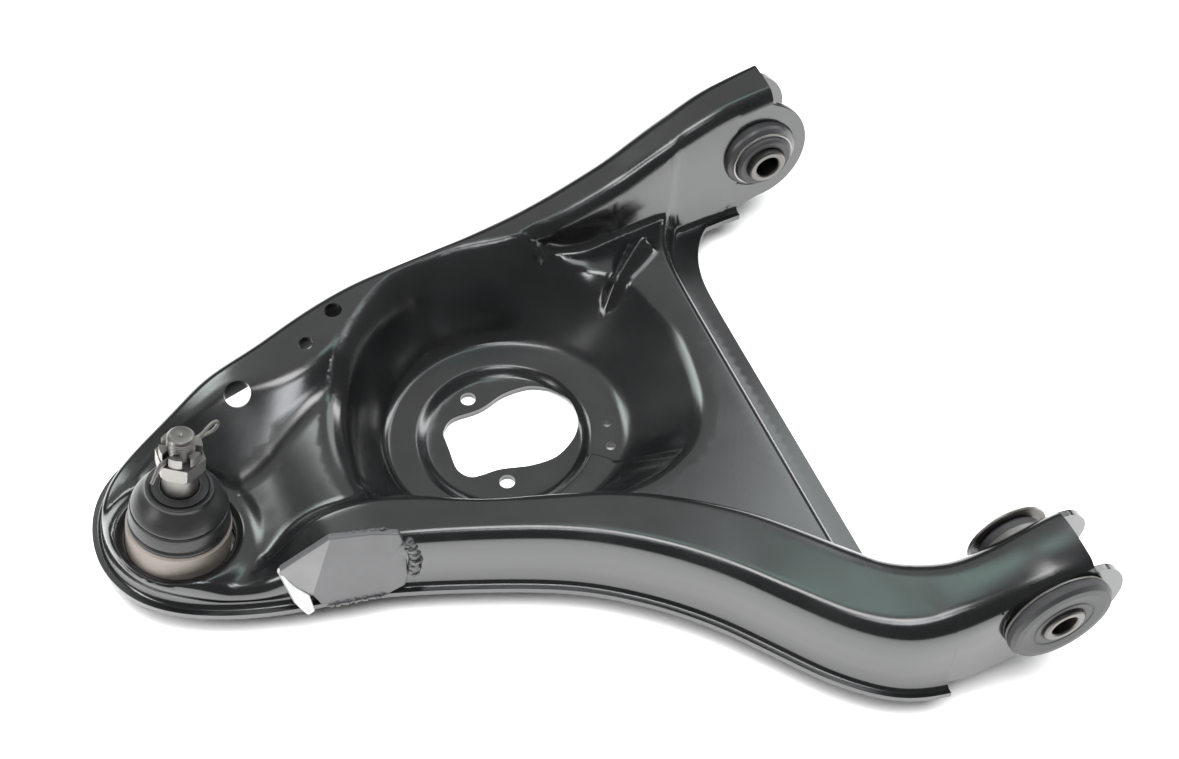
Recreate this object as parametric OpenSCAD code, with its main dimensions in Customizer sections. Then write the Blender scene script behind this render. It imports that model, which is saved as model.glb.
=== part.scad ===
// Front lower control arm, left hand, one stamped steel shell with its pressed-in parts.
// Millimetres. +Z up, +Y along the pivot axis toward the front bushing, -X outboard.
// The origin is the centre of the rear pivot bushing's bolt bore.

/* [Pivot] */
// distance between the two bushing centres along the pivot axis
pivot_span = 334; // [326:1:342]
// radius of the pivot bolt bore in both inner sleeves
bolt_bore_r = 7.1; // [6.1:0.1:7.6]
// outer radius of the inner sleeves
sleeve_r = 11.2; // [10.4:0.1:11.6]
// half length of an inner sleeve
sleeve_half = 30; // [29:0.5:33]
// radius of the front bushing's pressed outer shell
shell_r = 22.4; // [21.6:0.1:22.6]
// radius of the rear bushing's pressed outer shell
rear_shell_r = 18.4; // [17.6:0.1:18.6]
// distance from a leg's centre plane to the outside of its walls at the rear bushing
rear_half_w = 20; // [19:0.5:21]
// distance from a leg's centre plane to the outside of its walls at the front bushing
front_half_w = 17.5; // [17:0.5:18.5]

/* [Stamping] */
// sheet thickness of the stamping
sheet = 3.6; // [3:0.1:4]
// level of the underside of the rim flange
flange_z = -41.5; // [-44:0.5:-39]
// width of the turned-out rim flange
flange_w = 6; // [4:0.5:8]
// level of the web between the legs
web_z = -20; // [-23:0.5:-17]
// distance from the pivot axis to the web's rear edge
web_edge_x = 56.5; // [54:0.5:60]

/* [Spring pocket] */
// level of the annular spring seat
seat_z = -50; // [-53:0.5:-47]
// outer radius of the spring seat
seat_r = 62; // [60:0.5:64]
// inner radius of the spring seat
seat_in_r = 48.5; // [46:0.5:50]
// depth of the central plate under the seat
plate_drop = 4; // [3:0.5:6]
// rise of the helical seat from its stop to its far end
ramp_rise = 5; // [3:0.5:7]
// spacing of the two shock absorber bolt holes
shock_span = 61; // [58:0.5:64]
// radius of the shock absorber bolt holes
shock_hole_r = 4.4; // [4:0.1:5]
// radius of the stabilizer link hole in the front leg
link_hole_r = 7.2; // [6.5:0.1:8]

/* [Ball joint] */
// lean of the ball joint axis toward the pivot axis, degrees
lean_in = 10.2; // [8:0.2:12]
// radius of the housing where it is pressed into the arm
press_r = 27; // [26.4:0.1:27.4]
// radius of the ball
ball_r = 14; // [13:0.1:14.5]
// radius of the stud's thread
thread_r = 7.15; // [7:0.05:7.9]
// width of the castle nut across its flats
nut_af = 22.2; // [21.5:0.1:23]

/* [Hidden] */

$fn = 96;
run_gap = 0.05;                       // radial running clearance
front_y = pivot_span;
leg_end_x = 18;                       // straight end of the rear leg's top
front_end_x = 8;                      // straight end of the front leg's top
ear_r = 31;                           // ear round a bushing
sky_z = 70;                           // above everything on the stamping

// ball joint: centre of the housing at the level where it leaves the nose
bj = [-385.5, 202.5, -22];
lean_fwd = 2.8;
// heights along the ball joint axis
ball_h = -8;
base_h = 9.5;                         // top of the housing's exposed ring
housing_low = -27;
boot_top = 35.4;
nut_low = 51;
nut_h = 15.6;
stud_end = 74.4;
pin_h = 62.4;
pin_turn = 29.6;

// spring seat and shock plate centres
seat_c = [-200.6, 216.5];
shock_c = [-209.5, 219.1];
plate_z = seat_z - plate_drop;

link_hole = [-333.6, 265.6];
small_holes = [[-289.9, 280.9, 4.1], [-269.3, 296.7, 4.9]];

// outside of the rim wall, from the rear leg's end round the nose to the front leg's end
rim = [
    [leg_end_x, -rear_half_w], [-30, -rear_half_w], [-50, -rear_half_w], [-77, -12.5], [-101, 7], [-122, 33],
    [-143, 59], [-171, 85], [-206, 108], [-258, 129.5], [-305, 144.5], [-346, 151.5],
    [-376, 160.5], [-400, 173], [-416, 190], [-423, 215], [-417, 242], [-400, 260],
    [-366, 277], [-349, 286], [-318, 295], [-286, 306.5], [-254, 315], [-223, 318],
    [-192, 321], [-160, 326], [-127, 332.5], [-93, 339], [-59, 346],
    [-26, front_y + front_half_w - 0.5], [front_end_x, front_y + front_half_w],
];
// inner side of the rear leg, from its end to the nose
rear_inner = [
    [leg_end_x, rear_half_w], [-25, rear_half_w], [-42, 22], [-65, 36], [-80, 53], [-96, 72], [-118, 95],
    [-152, 118.5], [-181, 131], [-214, 142.5], [-239, 151], [-276, 168.5], [-300, 177],
    [-325, 180], [-346, 172],
];
// inner side of the front leg's top band, from its end to the nose
front_inner = [
    [front_end_x, front_y - front_half_w], [-16, front_y - front_half_w], [-38, 314.5],
    [-78, 310], [-105, 306.5], [-131, 304], [-150, 303.6], [-167, 306.7], [-190, 311],
    [-207, 312], [-222, 310.5], [-241, 301], [-258, 286.5], [-276, 268], [-300, 258],
    [-330, 248], [-355, 244], [-380, 250], [-405, 245],
];
// upper edge of the spring pocket, with its level
pocket = [
    [-90.5, 236, -20], [-90.7, 213, -20], [-97.5, 176, -20], [-108.5, 158, -20],
    [-126, 145, -20], [-152, 138, -19], [-181, 137, -4], [-214, 146, -1],
    [-239, 155, -3], [-272, 172, -6], [-291, 184, -12], [-296, 207, -15],
    [-292.5, 227, -14], [-286, 245.5, -12], [-272, 268, -7], [-258, 284, -5],
    [-241, 297, -4], [-220, 306, -2], [-190, 307, -1], [-167, 303, 0],
    [-145, 297, -4], [-120, 286, -14], [-101, 266, -20],
];
// top profiles: distance from the pivot axis against level
rear_top = [
    [-440, -25], [-352, -25], [-322, -6], [-290, -1], [-210, 2], [-120, 4], [-80, 8],
    [-50, 14], [-30, 17], [-10, 20], [4, 24], [20, 27],
];
front_top = [
    [-440, -25], [-395, -24], [-366, -13], [-340, -6], [-286, -2], [-200, 2], [-150, 3.5],
    [-127, 6], [-93, 13], [-59, 26], [-26, 36], [20, 43],
];
// saddle between nose and pocket
saddle_top = [[-440, -25], [-352, -27], [-320, -20], [-285, -13], [-240, -10]];

// ---- curve helpers ----
function cr(a, b, c, d, t) =
    0.5 * (2 * b + (c - a) * t + (2 * a - 5 * b + 4 * c - d) * t * t
    + (3 * b - a - 3 * c + d) * t * t * t);
function smooth_open(P, k) = [
    for (i = [0 : len(P) - 2]) for (j = [0 : k - 1])
        cr(P[max(i - 1, 0)], P[i], P[i + 1], P[min(i + 2, len(P) - 1)], j / k),
    P[len(P) - 1]
];
function smooth_ring(P, k) = let (n = len(P)) [
    for (i = [0 : n - 1]) for (j = [0 : k - 1])
        cr(P[(i + n - 1) % n], P[i], P[(i + 1) % n], P[(i + 2) % n], j / k)
];
function unit(v) = v / norm(v);
function side(P, i) = let (
    a = P[max(i - 1, 0)],
    b = P[min(i + 1, len(P) - 1)],
    u = unit(b - a)
) [u[1], -u[0]];
function shifted(P, d) = [for (i = [0 : len(P) - 1]) P[i] + d * side(P, i)];
function backward(P) = [for (i = [len(P) - 1 : -1 : 0]) P[i]];

rim_c = smooth_open(rim, 3);
rear_c = smooth_open(rear_inner, 3);
front_c = smooth_open(front_inner, 3);
pocket_c = smooth_ring(pocket, 2);
pocket_plan = [for (p = pocket_c) [p[0], p[1]]];
// outward normals of the pocket's edge, and the plan that the top sheets are cut to
pocket_out = [
    for (i = [0 : len(pocket_plan) - 1])
        let (
            n = len(pocket_plan),
            u = unit(pocket_plan[(i + 1) % n] - pocket_plan[(i + n - 1) % n])
        )
        [-u[1], u[0]]
];
pocket_cut = [
    for (i = [0 : len(pocket_plan) - 1]) pocket_plan[i] + 0.4 * sheet * pocket_out[i]
];

// strip of sheet standing on a curve; positive d lies to the curve's right
module strip(P, d0, d1) {
    polygon(concat(shifted(P, d0), backward(shifted(P, d1))));
}

// solid under a top profile
module under(profile, drop = 0) {
    n = len(profile);
    lowered = [for (p = profile) [p[0], p[1] - drop]];
    translate([0, 420, 0])
        rotate([90, 0, 0])
            linear_extrude(500)
                polygon(concat(lowered, [[profile[n - 1][0], -90], [profile[0][0], -90]]));
}

// plan area of the rear half and of the front half, for the two top profiles
module rear_side() {
    translate([-445, -60, -95]) cube([480, 275, 180]);
}
module front_side() {
    translate([-445, 215, -95]) cube([480, 160, 180]);
}

module topped(profile) {
    intersection() {
        children();
        under(profile);
    }
}

// ---- stamping pieces ----
module rim_wall() {
    intersection() {
        translate([0, 0, flange_z])
            linear_extrude(sky_z - flange_z)
                strip(rim_c, 0, sheet);
        union() {
            intersection() { under(rear_top); rear_side(); }
            intersection() { under(front_top); front_side(); }
        }
    }
}

module rim_flange() {
    difference() {
        translate([0, 0, flange_z])
            linear_extrude(sheet)
                strip(rim_c, -flange_w, sheet / 2);
        translate([-54, -60, -60]) cube([90, 80, 60]);
    }
}

// sloping cut under the rear leg's end, from the flange's step to the ear
module rear_end_cut() {
    translate([0, 60, 0])
        rotate([90, 0, 0])
            linear_extrude(120)
                polygon([[-54, -42], [14, -26.5], [60, -20], [60, -70], [-54, -70]]);
}

// a sheet over a plan outline, less the pocket, following a top profile
module sheet_over(profile) {
    difference() {
        intersection() {
            translate([0, 0, -60])
                linear_extrude(sky_z + 60)
                    difference() {
                        children();
                        polygon(pocket_cut);
                    }
            under(profile);
        }
        under(profile, sheet);
    }
}

// stretches of the rim that bound each top sheet
rear_rim = [for (p = rim_c) if (p[1] < 152 && p[0] > -352) p];
front_rim = [for (p = rim_c) if (p[1] > 272) p];
nose_rim = [for (p = rim_c) if (p[0] < -368 || (p[0] < -344 && p[1] < 200)) p];
// stretches of the inner curves where a wall stands under the edge
rear_wall_c = [for (p = rear_c) if (p[0] > -172) p];
front_wall_c = [for (p = front_c) if (p[0] > -146) p];

// walls between the saddle and the legs' tops, outboard of the pocket
rear_step_c = [for (p = rear_c) if (p[0] < -278 && p[0] > -342) p];
front_step_c = [for (p = front_c) if (p[0] < -270 && p[0] > -357) p];
// edges of the saddle, in the middle of those walls
rear_saddle_c = [for (p = rear_c) if (p[0] < -262 && p[0] > -345) p];
front_saddle_c = [for (p = front_c) if (p[0] < -262 && p[0] > -362) p];

module rear_outline() {
    polygon(concat(rear_rim, backward(rear_c)));
}

module front_outline() {
    polygon(concat(front_rim, front_c));
}

module step_wall(P, side, profile) {
    difference() {
        intersection() {
            translate([0, 0, -40])
                linear_extrude(60)
                    strip(P, 0, side * sheet);
            under(profile);
        }
        under(saddle_top, sheet);
    }
}

module rear_leg() {
    sheet_over(rear_top) rear_outline();
    step_wall(rear_step_c, -1, rear_top);
    topped(rear_top)
        translate([0, 0, flange_z])
            linear_extrude(sky_z - flange_z)
                strip(rear_wall_c, 0, -sheet);
}

module front_leg() {
    sheet_over(front_top) front_outline();
    step_wall(front_step_c, 1, front_top);
    topped(front_top)
        translate([0, 0, flange_z])
            linear_extrude(sky_z - flange_z)
                strip(front_wall_c, 0, sheet);
}

// nose plate and saddle: what lies inside the rim between the legs and the pocket
module nose_plate() {
    sheet_over(saddle_top)
        polygon(concat(
            nose_rim,
            backward(shifted(front_saddle_c, sheet / 2)),
            shifted(rear_saddle_c, -sheet / 2)
        ));
}

module at_ball_joint() {
    translate(bj)
        rotate([-lean_fwd, lean_in, 0])
            children();
}

// dished hole that takes the ball joint housing
module nose_collar() {
    at_ball_joint()
        rotate_extrude()
            polygon([
                [press_r, -17], [press_r + sheet, -17], [press_r + sheet, -9],
                [36, -8], [37.5, -6], [37.5, -1], [32, -2.2], [29.5, -4], [press_r, -7],
            ]);
}

module web() {
    // plate between the pocket and the rear edge
    translate([0, 0, web_z - sheet])
        linear_extrude(sheet)
            difference() {
                polygon([
                    [-186, 126], [-150, 114], [-118, 92], [-96, 69], [-80, 50], [-72, 41],
                    [-72, 280], [-62, 300], [-55, 313], [-110, 308], [-150, 301],
                ]);
                polygon(pocket_cut);
            }
    // rear edge wall
    translate([0, 0, flange_z])
        linear_extrude(web_z - flange_z)
            polygon([
                [-72, 42], [-72 - sheet, 46], [-72 - sheet, 281], [-66, 301], [-58, 313],
                [-53, 313], [-62.5, 299], [-72, 279.5],
            ]);
    // rear edge flange with its curve into the front leg
    translate([0, 0, flange_z])
        linear_extrude(sheet)
            polygon([
                [-75, 46], [-web_edge_x, 31], [-web_edge_x, 255], [-54.5, 275], [-51, 286],
                [-45, 296], [-37.5, 304], [-27, 310.5], [-10, 314], [front_end_x, 315.5],
                [front_end_x, 318.5], [-40, 317], [-62, 312], [-75, 290],
            ]);
}

// gusset rib pressed into the pocket's front corner
module gusset() {
    polyhedron(
        points = [
            [-122, 292, -24], [-90, 288, -24], [-104, 262, -30],
            [-96, 279, -5], [-106, 284, -6],
        ],
        faces = [[0, 2, 1], [0, 1, 3], [0, 3, 4], [4, 3, 2], [1, 2, 3], [0, 4, 2]]
    );
}

// wall of the spring pocket: one closed ring lofted from the free edge to the seat
module pocket_wall() {
    n = len(pocket_c);
    out = pocket_out;
    low = [for (p = pocket_plan) unit(p - seat_c)];
    mid_z = [for (p = pocket_c) seat_z + 0.3 * (p[2] - seat_z)];
    // six rings: seat, middle and edge, inside then outside
    rings = [
        [for (i = [0 : n - 1]) let (q = seat_c + seat_r * low[i]) [q[0], q[1], seat_z]],
        [
            for (i = [0 : n - 1])
                let (q = 0.6 * (seat_c + seat_r * low[i]) + 0.4 * pocket_plan[i])
                [q[0], q[1], mid_z[i]]
        ],
        [for (i = [0 : n - 1]) [pocket_plan[i][0], pocket_plan[i][1], pocket_c[i][2]]],
        [
            for (i = [0 : n - 1])
                let (q = pocket_plan[i] + sheet * out[i])
                [q[0], q[1], pocket_c[i][2] - 0.4]
        ],
        [
            for (i = [0 : n - 1])
                let (q = 0.6 * (seat_c + (seat_r + sheet) * low[i])
                    + 0.4 * (pocket_plan[i] + sheet * out[i]))
                [q[0], q[1], mid_z[i] - sheet / 2]
        ],
        [
            for (i = [0 : n - 1])
                let (q = seat_c + (seat_r + sheet) * low[i])
                [q[0], q[1], seat_z - sheet + 0.3]
        ],
    ];
    m = len(rings);
    polyhedron(
        points = [for (r = rings) for (p = r) p],
        faces = [
            for (k = [0 : m - 1]) for (i = [0 : n - 1])
                let (a = k * n + i, b = k * n + (i + 1) % n, c = ((k + 1) % m) * n + i,
                    d = ((k + 1) % m) * n + (i + 1) % n)
                for (f = [[a, d, b], [a, c, d]]) f
        ]
    );
}

module pocket_floor() {
    turn = 300;                       // where the helical seat ends at its stop
    translate([seat_c[0], seat_c[1], 0]) {
        // seat, step and edge of the central plate
        rotate_extrude()
            polygon([
                [seat_r + 1.5, seat_z], [seat_in_r, seat_z], [seat_in_r - 9, plate_z],
                [seat_in_r - 14, plate_z], [seat_in_r - 14, plate_z - sheet],
                [seat_in_r - 8, plate_z - sheet], [seat_in_r + 1, seat_z - sheet],
                [seat_r + 1.5, seat_z - sheet],
            ]);
        // helical part of the seat, rising toward its stop
        for (k = [0 : 4])
            rotate([0, 0, turn - 20 * (k + 1)])
                rotate_extrude(angle = 20 * (k + 1) - 0.5 * k)
                    translate([seat_in_r + 1 + 0.1 * k, seat_z - 0.5])
                        square([seat_r - seat_in_r - 2 - 0.2 * k,
                            0.5 + ramp_rise * (5 - k) / 5]);
        // central plate with the shock absorber's opening
        translate([0, 0, plate_z - sheet])
            linear_extrude(sheet)
                difference() {
                    circle(seat_in_r - 13);
                    translate(-seat_c) polygon(shock_opening);
                }
    }
}

// outline of the shock absorber's opening, clear of the two bolt bosses
shock_opening = [
    [-230.5, 233], [-222.8, 239.8], [-205.8, 240.4], [-191.2, 245.2], [-180, 246],
    [-172, 244.4], [-164.5, 239], [-157.4, 227.8], [-156.7, 217.6], [-158.6, 210],
    [-165.2, 201.6], [-177.8, 194.2], [-192.9, 193.7], [-209.7, 197.6], [-220.8, 197.8],
    [-226.9, 198.8], [-231, 203.3], [-232.4, 209], [-231.7, 218.9], [-231.2, 228],
];

// ear of sheet standing round a bushing
module ear(x, z, r, y) {
    translate([x, y, z])
        rotate([90, 0, 0])
            cylinder(r = r, h = sheet);
}

// the whole pressing
module arm_stamping() {
    difference() {
        union() {
            difference() {
                rim_wall();
                rear_end_cut();
            }
            rim_flange();
            difference() {
                rear_leg();
                rear_end_cut();
            }
            front_leg();
            nose_plate();
            nose_collar();
            web();
            gusset();
            pocket_wall();
            pocket_floor();
            ear(14, -1, 25, -rear_half_w + sheet);
            ear(14, -1, 25, rear_half_w);
            ear(-3.4, 1, 34, front_y - front_half_w + sheet);
            ear(-3.4, 1, 34, front_y + front_half_w);
        }
        // bushing bores
        translate([0, 60, 0]) rotate([90, 0, 0]) cylinder(r = rear_shell_r, h = 120);
        translate([0, front_y + 60, 0]) rotate([90, 0, 0]) cylinder(r = shell_r, h = 120);
        // ball joint bore
        at_ball_joint() translate([0, 0, -40]) cylinder(r = press_r, h = 60);
        // shock absorber bolt holes
        for (s = [-1, 1])
            translate([shock_c[0], shock_c[1] + s * shock_span / 2, plate_z - 10])
                cylinder(r = shock_hole_r, h = 20);
        // gauge holes in the seat
        translate([-144.5, 202.2, -60]) cylinder(r = 2.7, h = 20, $fn = 32);
        translate([-148.8, 187.1, -60]) cylinder(r = 2.9, h = 20, $fn = 32);
        // holes in the front leg
        translate([link_hole[0], link_hole[1], -30]) cylinder(r = link_hole_r, h = 50);
        for (h = small_holes)
            translate([h[0], h[1], -30]) cylinder(r = h[2], h = 50, $fn = 48);
    }
}

// the pressing is held as six nodes that meet face to face on flat cuts
cut_nose_x = -300;
cut_legs_x = -56;
sky = 200;

module stretch(x0, x1, y0, y1) {
    color([0.06, 0.065, 0.07])
    intersection() {
        arm_stamping();
        translate([x0, y0, -sky / 2]) cube([x1 - x0, y1 - y0, sky]);
    }
}

module arm_nose() {
    stretch(-sky - 300, cut_nose_x, -sky, 3 * sky);
}

module arm_rear_outer() {
    stretch(cut_nose_x, seat_c[0], -sky, seat_c[1]);
}

module arm_rear_inner() {
    stretch(seat_c[0], cut_legs_x, -sky, seat_c[1]);
}

module arm_front_outer() {
    stretch(cut_nose_x, seat_c[0], seat_c[1], 3 * sky);
}

module arm_front_inner() {
    stretch(seat_c[0], cut_legs_x, seat_c[1], 3 * sky);
}

module arm_leg_ends() {
    stretch(cut_legs_x, sky, -sky, 3 * sky);
}

// ---- steering stop ----
stop_rim = [for (p = rim_c) if (p[1] < 152 && p[0] > -347 && p[0] < -279) p];
weld_rim = [for (p = rim_c) if (p[1] < 152 && p[0] > -340 && p[0] < -284) p];

module steering_stop() {
    color([0.3, 0.3, 0.31])
    intersection() {
        translate([0, 0, flange_z + sheet + 0.02])
            linear_extrude(60)
                strip(stop_rim, -5, -0.02);
        under(rear_top, -2);
    }
}

// two beads: along the stop's top and down its inboard end
module stop_weld() {
    color([0.16, 0.16, 0.17])
    intersection() {
        translate([0, 0, -30])
            linear_extrude(60)
                strip(weld_rim, 0.02, 3);
        difference() {
            under(rear_top, -2);
            under(rear_top, -0.02);
        }
    }
}

// ---- bushings ----
module along_pivot(y) {
    translate([0, y, 0])
        rotate([-90, 0, 0])
            children();
}

shell_wall = 1.5;
sleeve_hole = sleeve_r + run_gap;

module front_bushing_shell() {
    color([0.55, 0.55, 0.56])
    along_pivot(front_y)
        rotate_extrude()
            polygon([
                [shell_r, 18.5], [shell_r, -19], [shell_r - 1, -21], [18.6, -23],
                [17.6, -23], [17.6, -21.6], [shell_r - shell_wall, -19.2],
                [shell_r - shell_wall, 18.5],
            ]);
}

module front_bushing_rubber() {
    color([0.05, 0.05, 0.05])
    along_pivot(front_y)
        rotate_extrude()
            polygon([
                [sleeve_hole, -26.5], [16.4, -26.5], [17.5, -25], [17.5, -21.5],
                [shell_r - shell_wall - 0.02, -19], [shell_r - shell_wall - 0.02, 18.5],
                [17, 24], [sleeve_hole, 25],
            ]);
}

module inner_sleeve() {
    color([0.6, 0.58, 0.55])
    rotate_extrude()
        polygon([
            [bolt_bore_r + 0.8, -sleeve_half], [sleeve_r - 0.6, -sleeve_half],
            [sleeve_r, -sleeve_half + 0.6], [sleeve_r, sleeve_half - 0.6],
            [sleeve_r - 0.6, sleeve_half], [bolt_bore_r + 0.8, sleeve_half],
            [bolt_bore_r, sleeve_half - 0.8], [bolt_bore_r, -sleeve_half + 0.8],
        ]);
}

module front_inner_sleeve() {
    along_pivot(front_y) inner_sleeve();
}

module rear_inner_sleeve() {
    along_pivot(0) inner_sleeve();
}

module rear_bushing_shell() {
    color([0.2, 0.2, 0.21])
    along_pivot(0)
        rotate_extrude()
            polygon([
                [rear_shell_r, 21.5], [rear_shell_r, -rear_half_w - 0.02], [28, -rear_half_w - 0.02],
                [28, -rear_half_w - shell_wall], [rear_shell_r - shell_wall, -rear_half_w - shell_wall],
                [rear_shell_r - shell_wall, 21.5],
            ]);
}

module rear_bushing_rubber() {
    color([0.05, 0.05, 0.05])
    along_pivot(0)
        rotate_extrude()
            polygon([
                [sleeve_hole, -28.5], [18, -28.5], [27, -27.6], [28.5, -26], [28.5, -21.6],
                [rear_shell_r - shell_wall - 0.02, -21.6], [rear_shell_r - shell_wall - 0.02, 21.5],
                [17, 27], [sleeve_hole, 27.4],
            ]);
}

module rear_end_washer() {
    color([0.5, 0.5, 0.5])
    along_pivot(0)
        rotate_extrude()
            polygon([
                [sleeve_r + 0.02, 27.8], [20.4, 27.8], [22, 26.8], [22.6, 28], [21, 29.6],
                [sleeve_r + 0.02, 29.6],
            ]);
}

// ---- ball joint ----
cavity_r = 22;                        // bore of the housing
neck_r = 21.5;                        // neck that holds the cover's foot
neck_ring_r = 23;

module ball_housing() {
    color([0.55, 0.54, 0.5])
    at_ball_joint()
        rotate_extrude()
            polygon([
                [press_r - 0.02, housing_low], [press_r - 0.02, base_h - 0.8],
                [press_r - 0.8, base_h], [neck_r, base_h], [neck_r, base_h + 3.5],
                [17, base_h + 3.5], [17, 5], [cavity_r, 5], [cavity_r, housing_low + 0.5],
                [24.5, housing_low + 0.5], [24.5, housing_low],
            ]);
}

module bearing_cup() {
    color([0.75, 0.72, 0.6])
    at_ball_joint()
        difference() {
            translate([0, 0, ball_h]) cylinder(r = cavity_r - 0.02, h = 12.8);
            translate([0, 0, ball_h]) sphere(r = ball_r + run_gap);
            translate([0, 0, ball_h]) cylinder(r1 = 8, r2 = 18, h = 20);
        }
}

module bearing_seat() {
    color([0.75, 0.72, 0.6])
    at_ball_joint()
        difference() {
            translate([0, 0, ball_h - 14.8]) cylinder(r = cavity_r - 0.02, h = 14.7);
            translate([0, 0, ball_h]) sphere(r = ball_r + run_gap);
            translate([0, 0, ball_h - 20]) cylinder(r = 3, h = 10);
        }
}

module preload_spring() {
    color([0.4, 0.4, 0.42])
    at_ball_joint()
        rotate_extrude()
            polygon([
                [6, ball_h - 15.9], [16, ball_h - 14.9], [16, ball_h - 15.7], [6, ball_h - 16.7],
            ]);
}

module housing_cover() {
    color([0.35, 0.35, 0.36])
    at_ball_joint()
        rotate_extrude()
            polygon([
                [3.05, -26.6], [12, -26.6], [21.9, -25.5], [21.9, -27.2], [13, -29], [3.05, -29],
            ]);
}

module grease_fitting() {
    color([0.7, 0.66, 0.5])
    at_ball_joint()
        rotate_extrude()
            polygon([
                [0, -24.5], [3, -24.5], [3, -29.05], [4.2, -29.05], [4.2, -31.5], [2.2, -32.4],
                [2.2, -33], [3, -33.6], [2.4, -34.6], [0, -34.6],
            ]);
}

// stud with its ball: axis section
module ball_stud() {
    color([0.5, 0.49, 0.46])
    at_ball_joint()
        difference() {
            union() {
                translate([0, 0, ball_h]) sphere(r = ball_r);
                rotate_extrude()
                    polygon([
                        [0, ball_h], [7.6, ball_h], [7.6, base_h + 4], [9.6, 22], [9.5, 34],
                        [8.2, nut_low - 0.6], [thread_r, nut_low], [thread_r, stud_end - 1.6],
                        [5.6, stud_end], [0, stud_end],
                    ]);
            }
            translate([0, 0, pin_h])
                rotate([0, 90, pin_turn])
                    translate([0, 0, -20])
                        cylinder(r = 1.95, h = 40, $fn = 32);
            translate([0, 0, stud_end - 0.8]) cylinder(r1 = 0.2, r2 = 1.4, h = 1);
        }
}

// rolling rubber cover, thin walled
module boot() {
    color([0.07, 0.07, 0.075])
    at_ball_joint()
        rotate_extrude()
            polygon([
                [neck_ring_r + 0.02, base_h + 0.1], [25.4, base_h + 0.1], [26, base_h + 2],
                [25.2, base_h + 3.6], [25.4, 17], [24.6, 23], [22, 29], [18, 33.6],
                [17.2, boot_top], [14.4, boot_top], [14.4, 33.4], [16.8, 31.8], [20.2, 27.6],
                [22.6, 22.4], [23.5, 17], [23.3, 13.8], [neck_ring_r + 0.02, 13.2],
            ]);
}

// steel band inside the cover's foot, gripping the housing's neck
module boot_base_ring() {
    color([0.3, 0.3, 0.3])
    at_ball_joint()
        rotate_extrude()
            translate([neck_r + 0.02, base_h + 0.1])
                square([neck_ring_r - neck_r - 0.02, 3]);
}

// lip that closes the cover on the stud, with its stiffening ring
module boot_lip_ring() {
    color([0.12, 0.12, 0.125])
    at_ball_joint()
        rotate_extrude()
            polygon([
                [9.62, 33.5], [14.3, 33.5], [14.3, boot_top + 0.1], [17, boot_top + 0.1],
                [17, boot_top + 0.9], [9.5, boot_top + 0.9],
            ]);
}

module castle_nut() {
    color([0.62, 0.6, 0.56])
    at_ball_joint()
        translate([0, 0, nut_low])
            difference() {
                intersection() {
                    union() {
                        rotate([0, 0, pin_turn])
                            cylinder(r = nut_af / 2 / cos(30), h = nut_h - 6.5, $fn = 6);
                        cylinder(r = nut_af / 2 - 0.4, h = nut_h);
                    }
                    cylinder(r1 = nut_af / 2 + 0.9, r2 = nut_af / 2 + 9, h = 8.1 + 7.5);
                }
                translate([0, 0, -1]) cylinder(r = thread_r + 0.02, h = 30);
                for (a = [0, 60, 120])
                    rotate([0, 0, pin_turn + a])
                        translate([-20, -2.1, nut_h - 6])
                            cube([40, 4.2, 10]);
            }
}

// split pin: eye, two legs through the stud, bent tail
module cotter_pin() {
    color([0.6, 0.58, 0.54])
    at_ball_joint()
        translate([0, 0, pin_h])
            rotate([0, 0, pin_turn]) {
                rotate([0, 90, 0])
                    translate([0, 0, -24])
                        cylinder(r = 1.6, h = 43, $fn = 32);
                translate([23.3, 0, 0])
                    rotate([90, 0, 0])
                        rotate_extrude()
                            translate([3.4, 0])
                                circle(r = 1.3, $fn = 24);
            }
}

arm_nose();
arm_rear_outer();
arm_rear_inner();
arm_front_outer();
arm_front_inner();
arm_leg_ends();
steering_stop();
stop_weld();
front_bushing_shell();
front_bushing_rubber();
front_inner_sleeve();
rear_bushing_shell();
rear_bushing_rubber();
rear_inner_sleeve();
rear_end_washer();
ball_housing();
ball_stud();
bearing_cup();
bearing_seat();
preload_spring();
housing_cover();
boot();
boot_base_ring();
boot_lip_ring();
grease_fitting();
castle_nut();
cotter_pin();
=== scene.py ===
import math
import bmesh
import bpy
import numpy as np
from mathutils import Matrix, Vector
from mathutils.geometry import delaunay_2d_cdt
from mathutils.kdtree import KDTree


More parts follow.
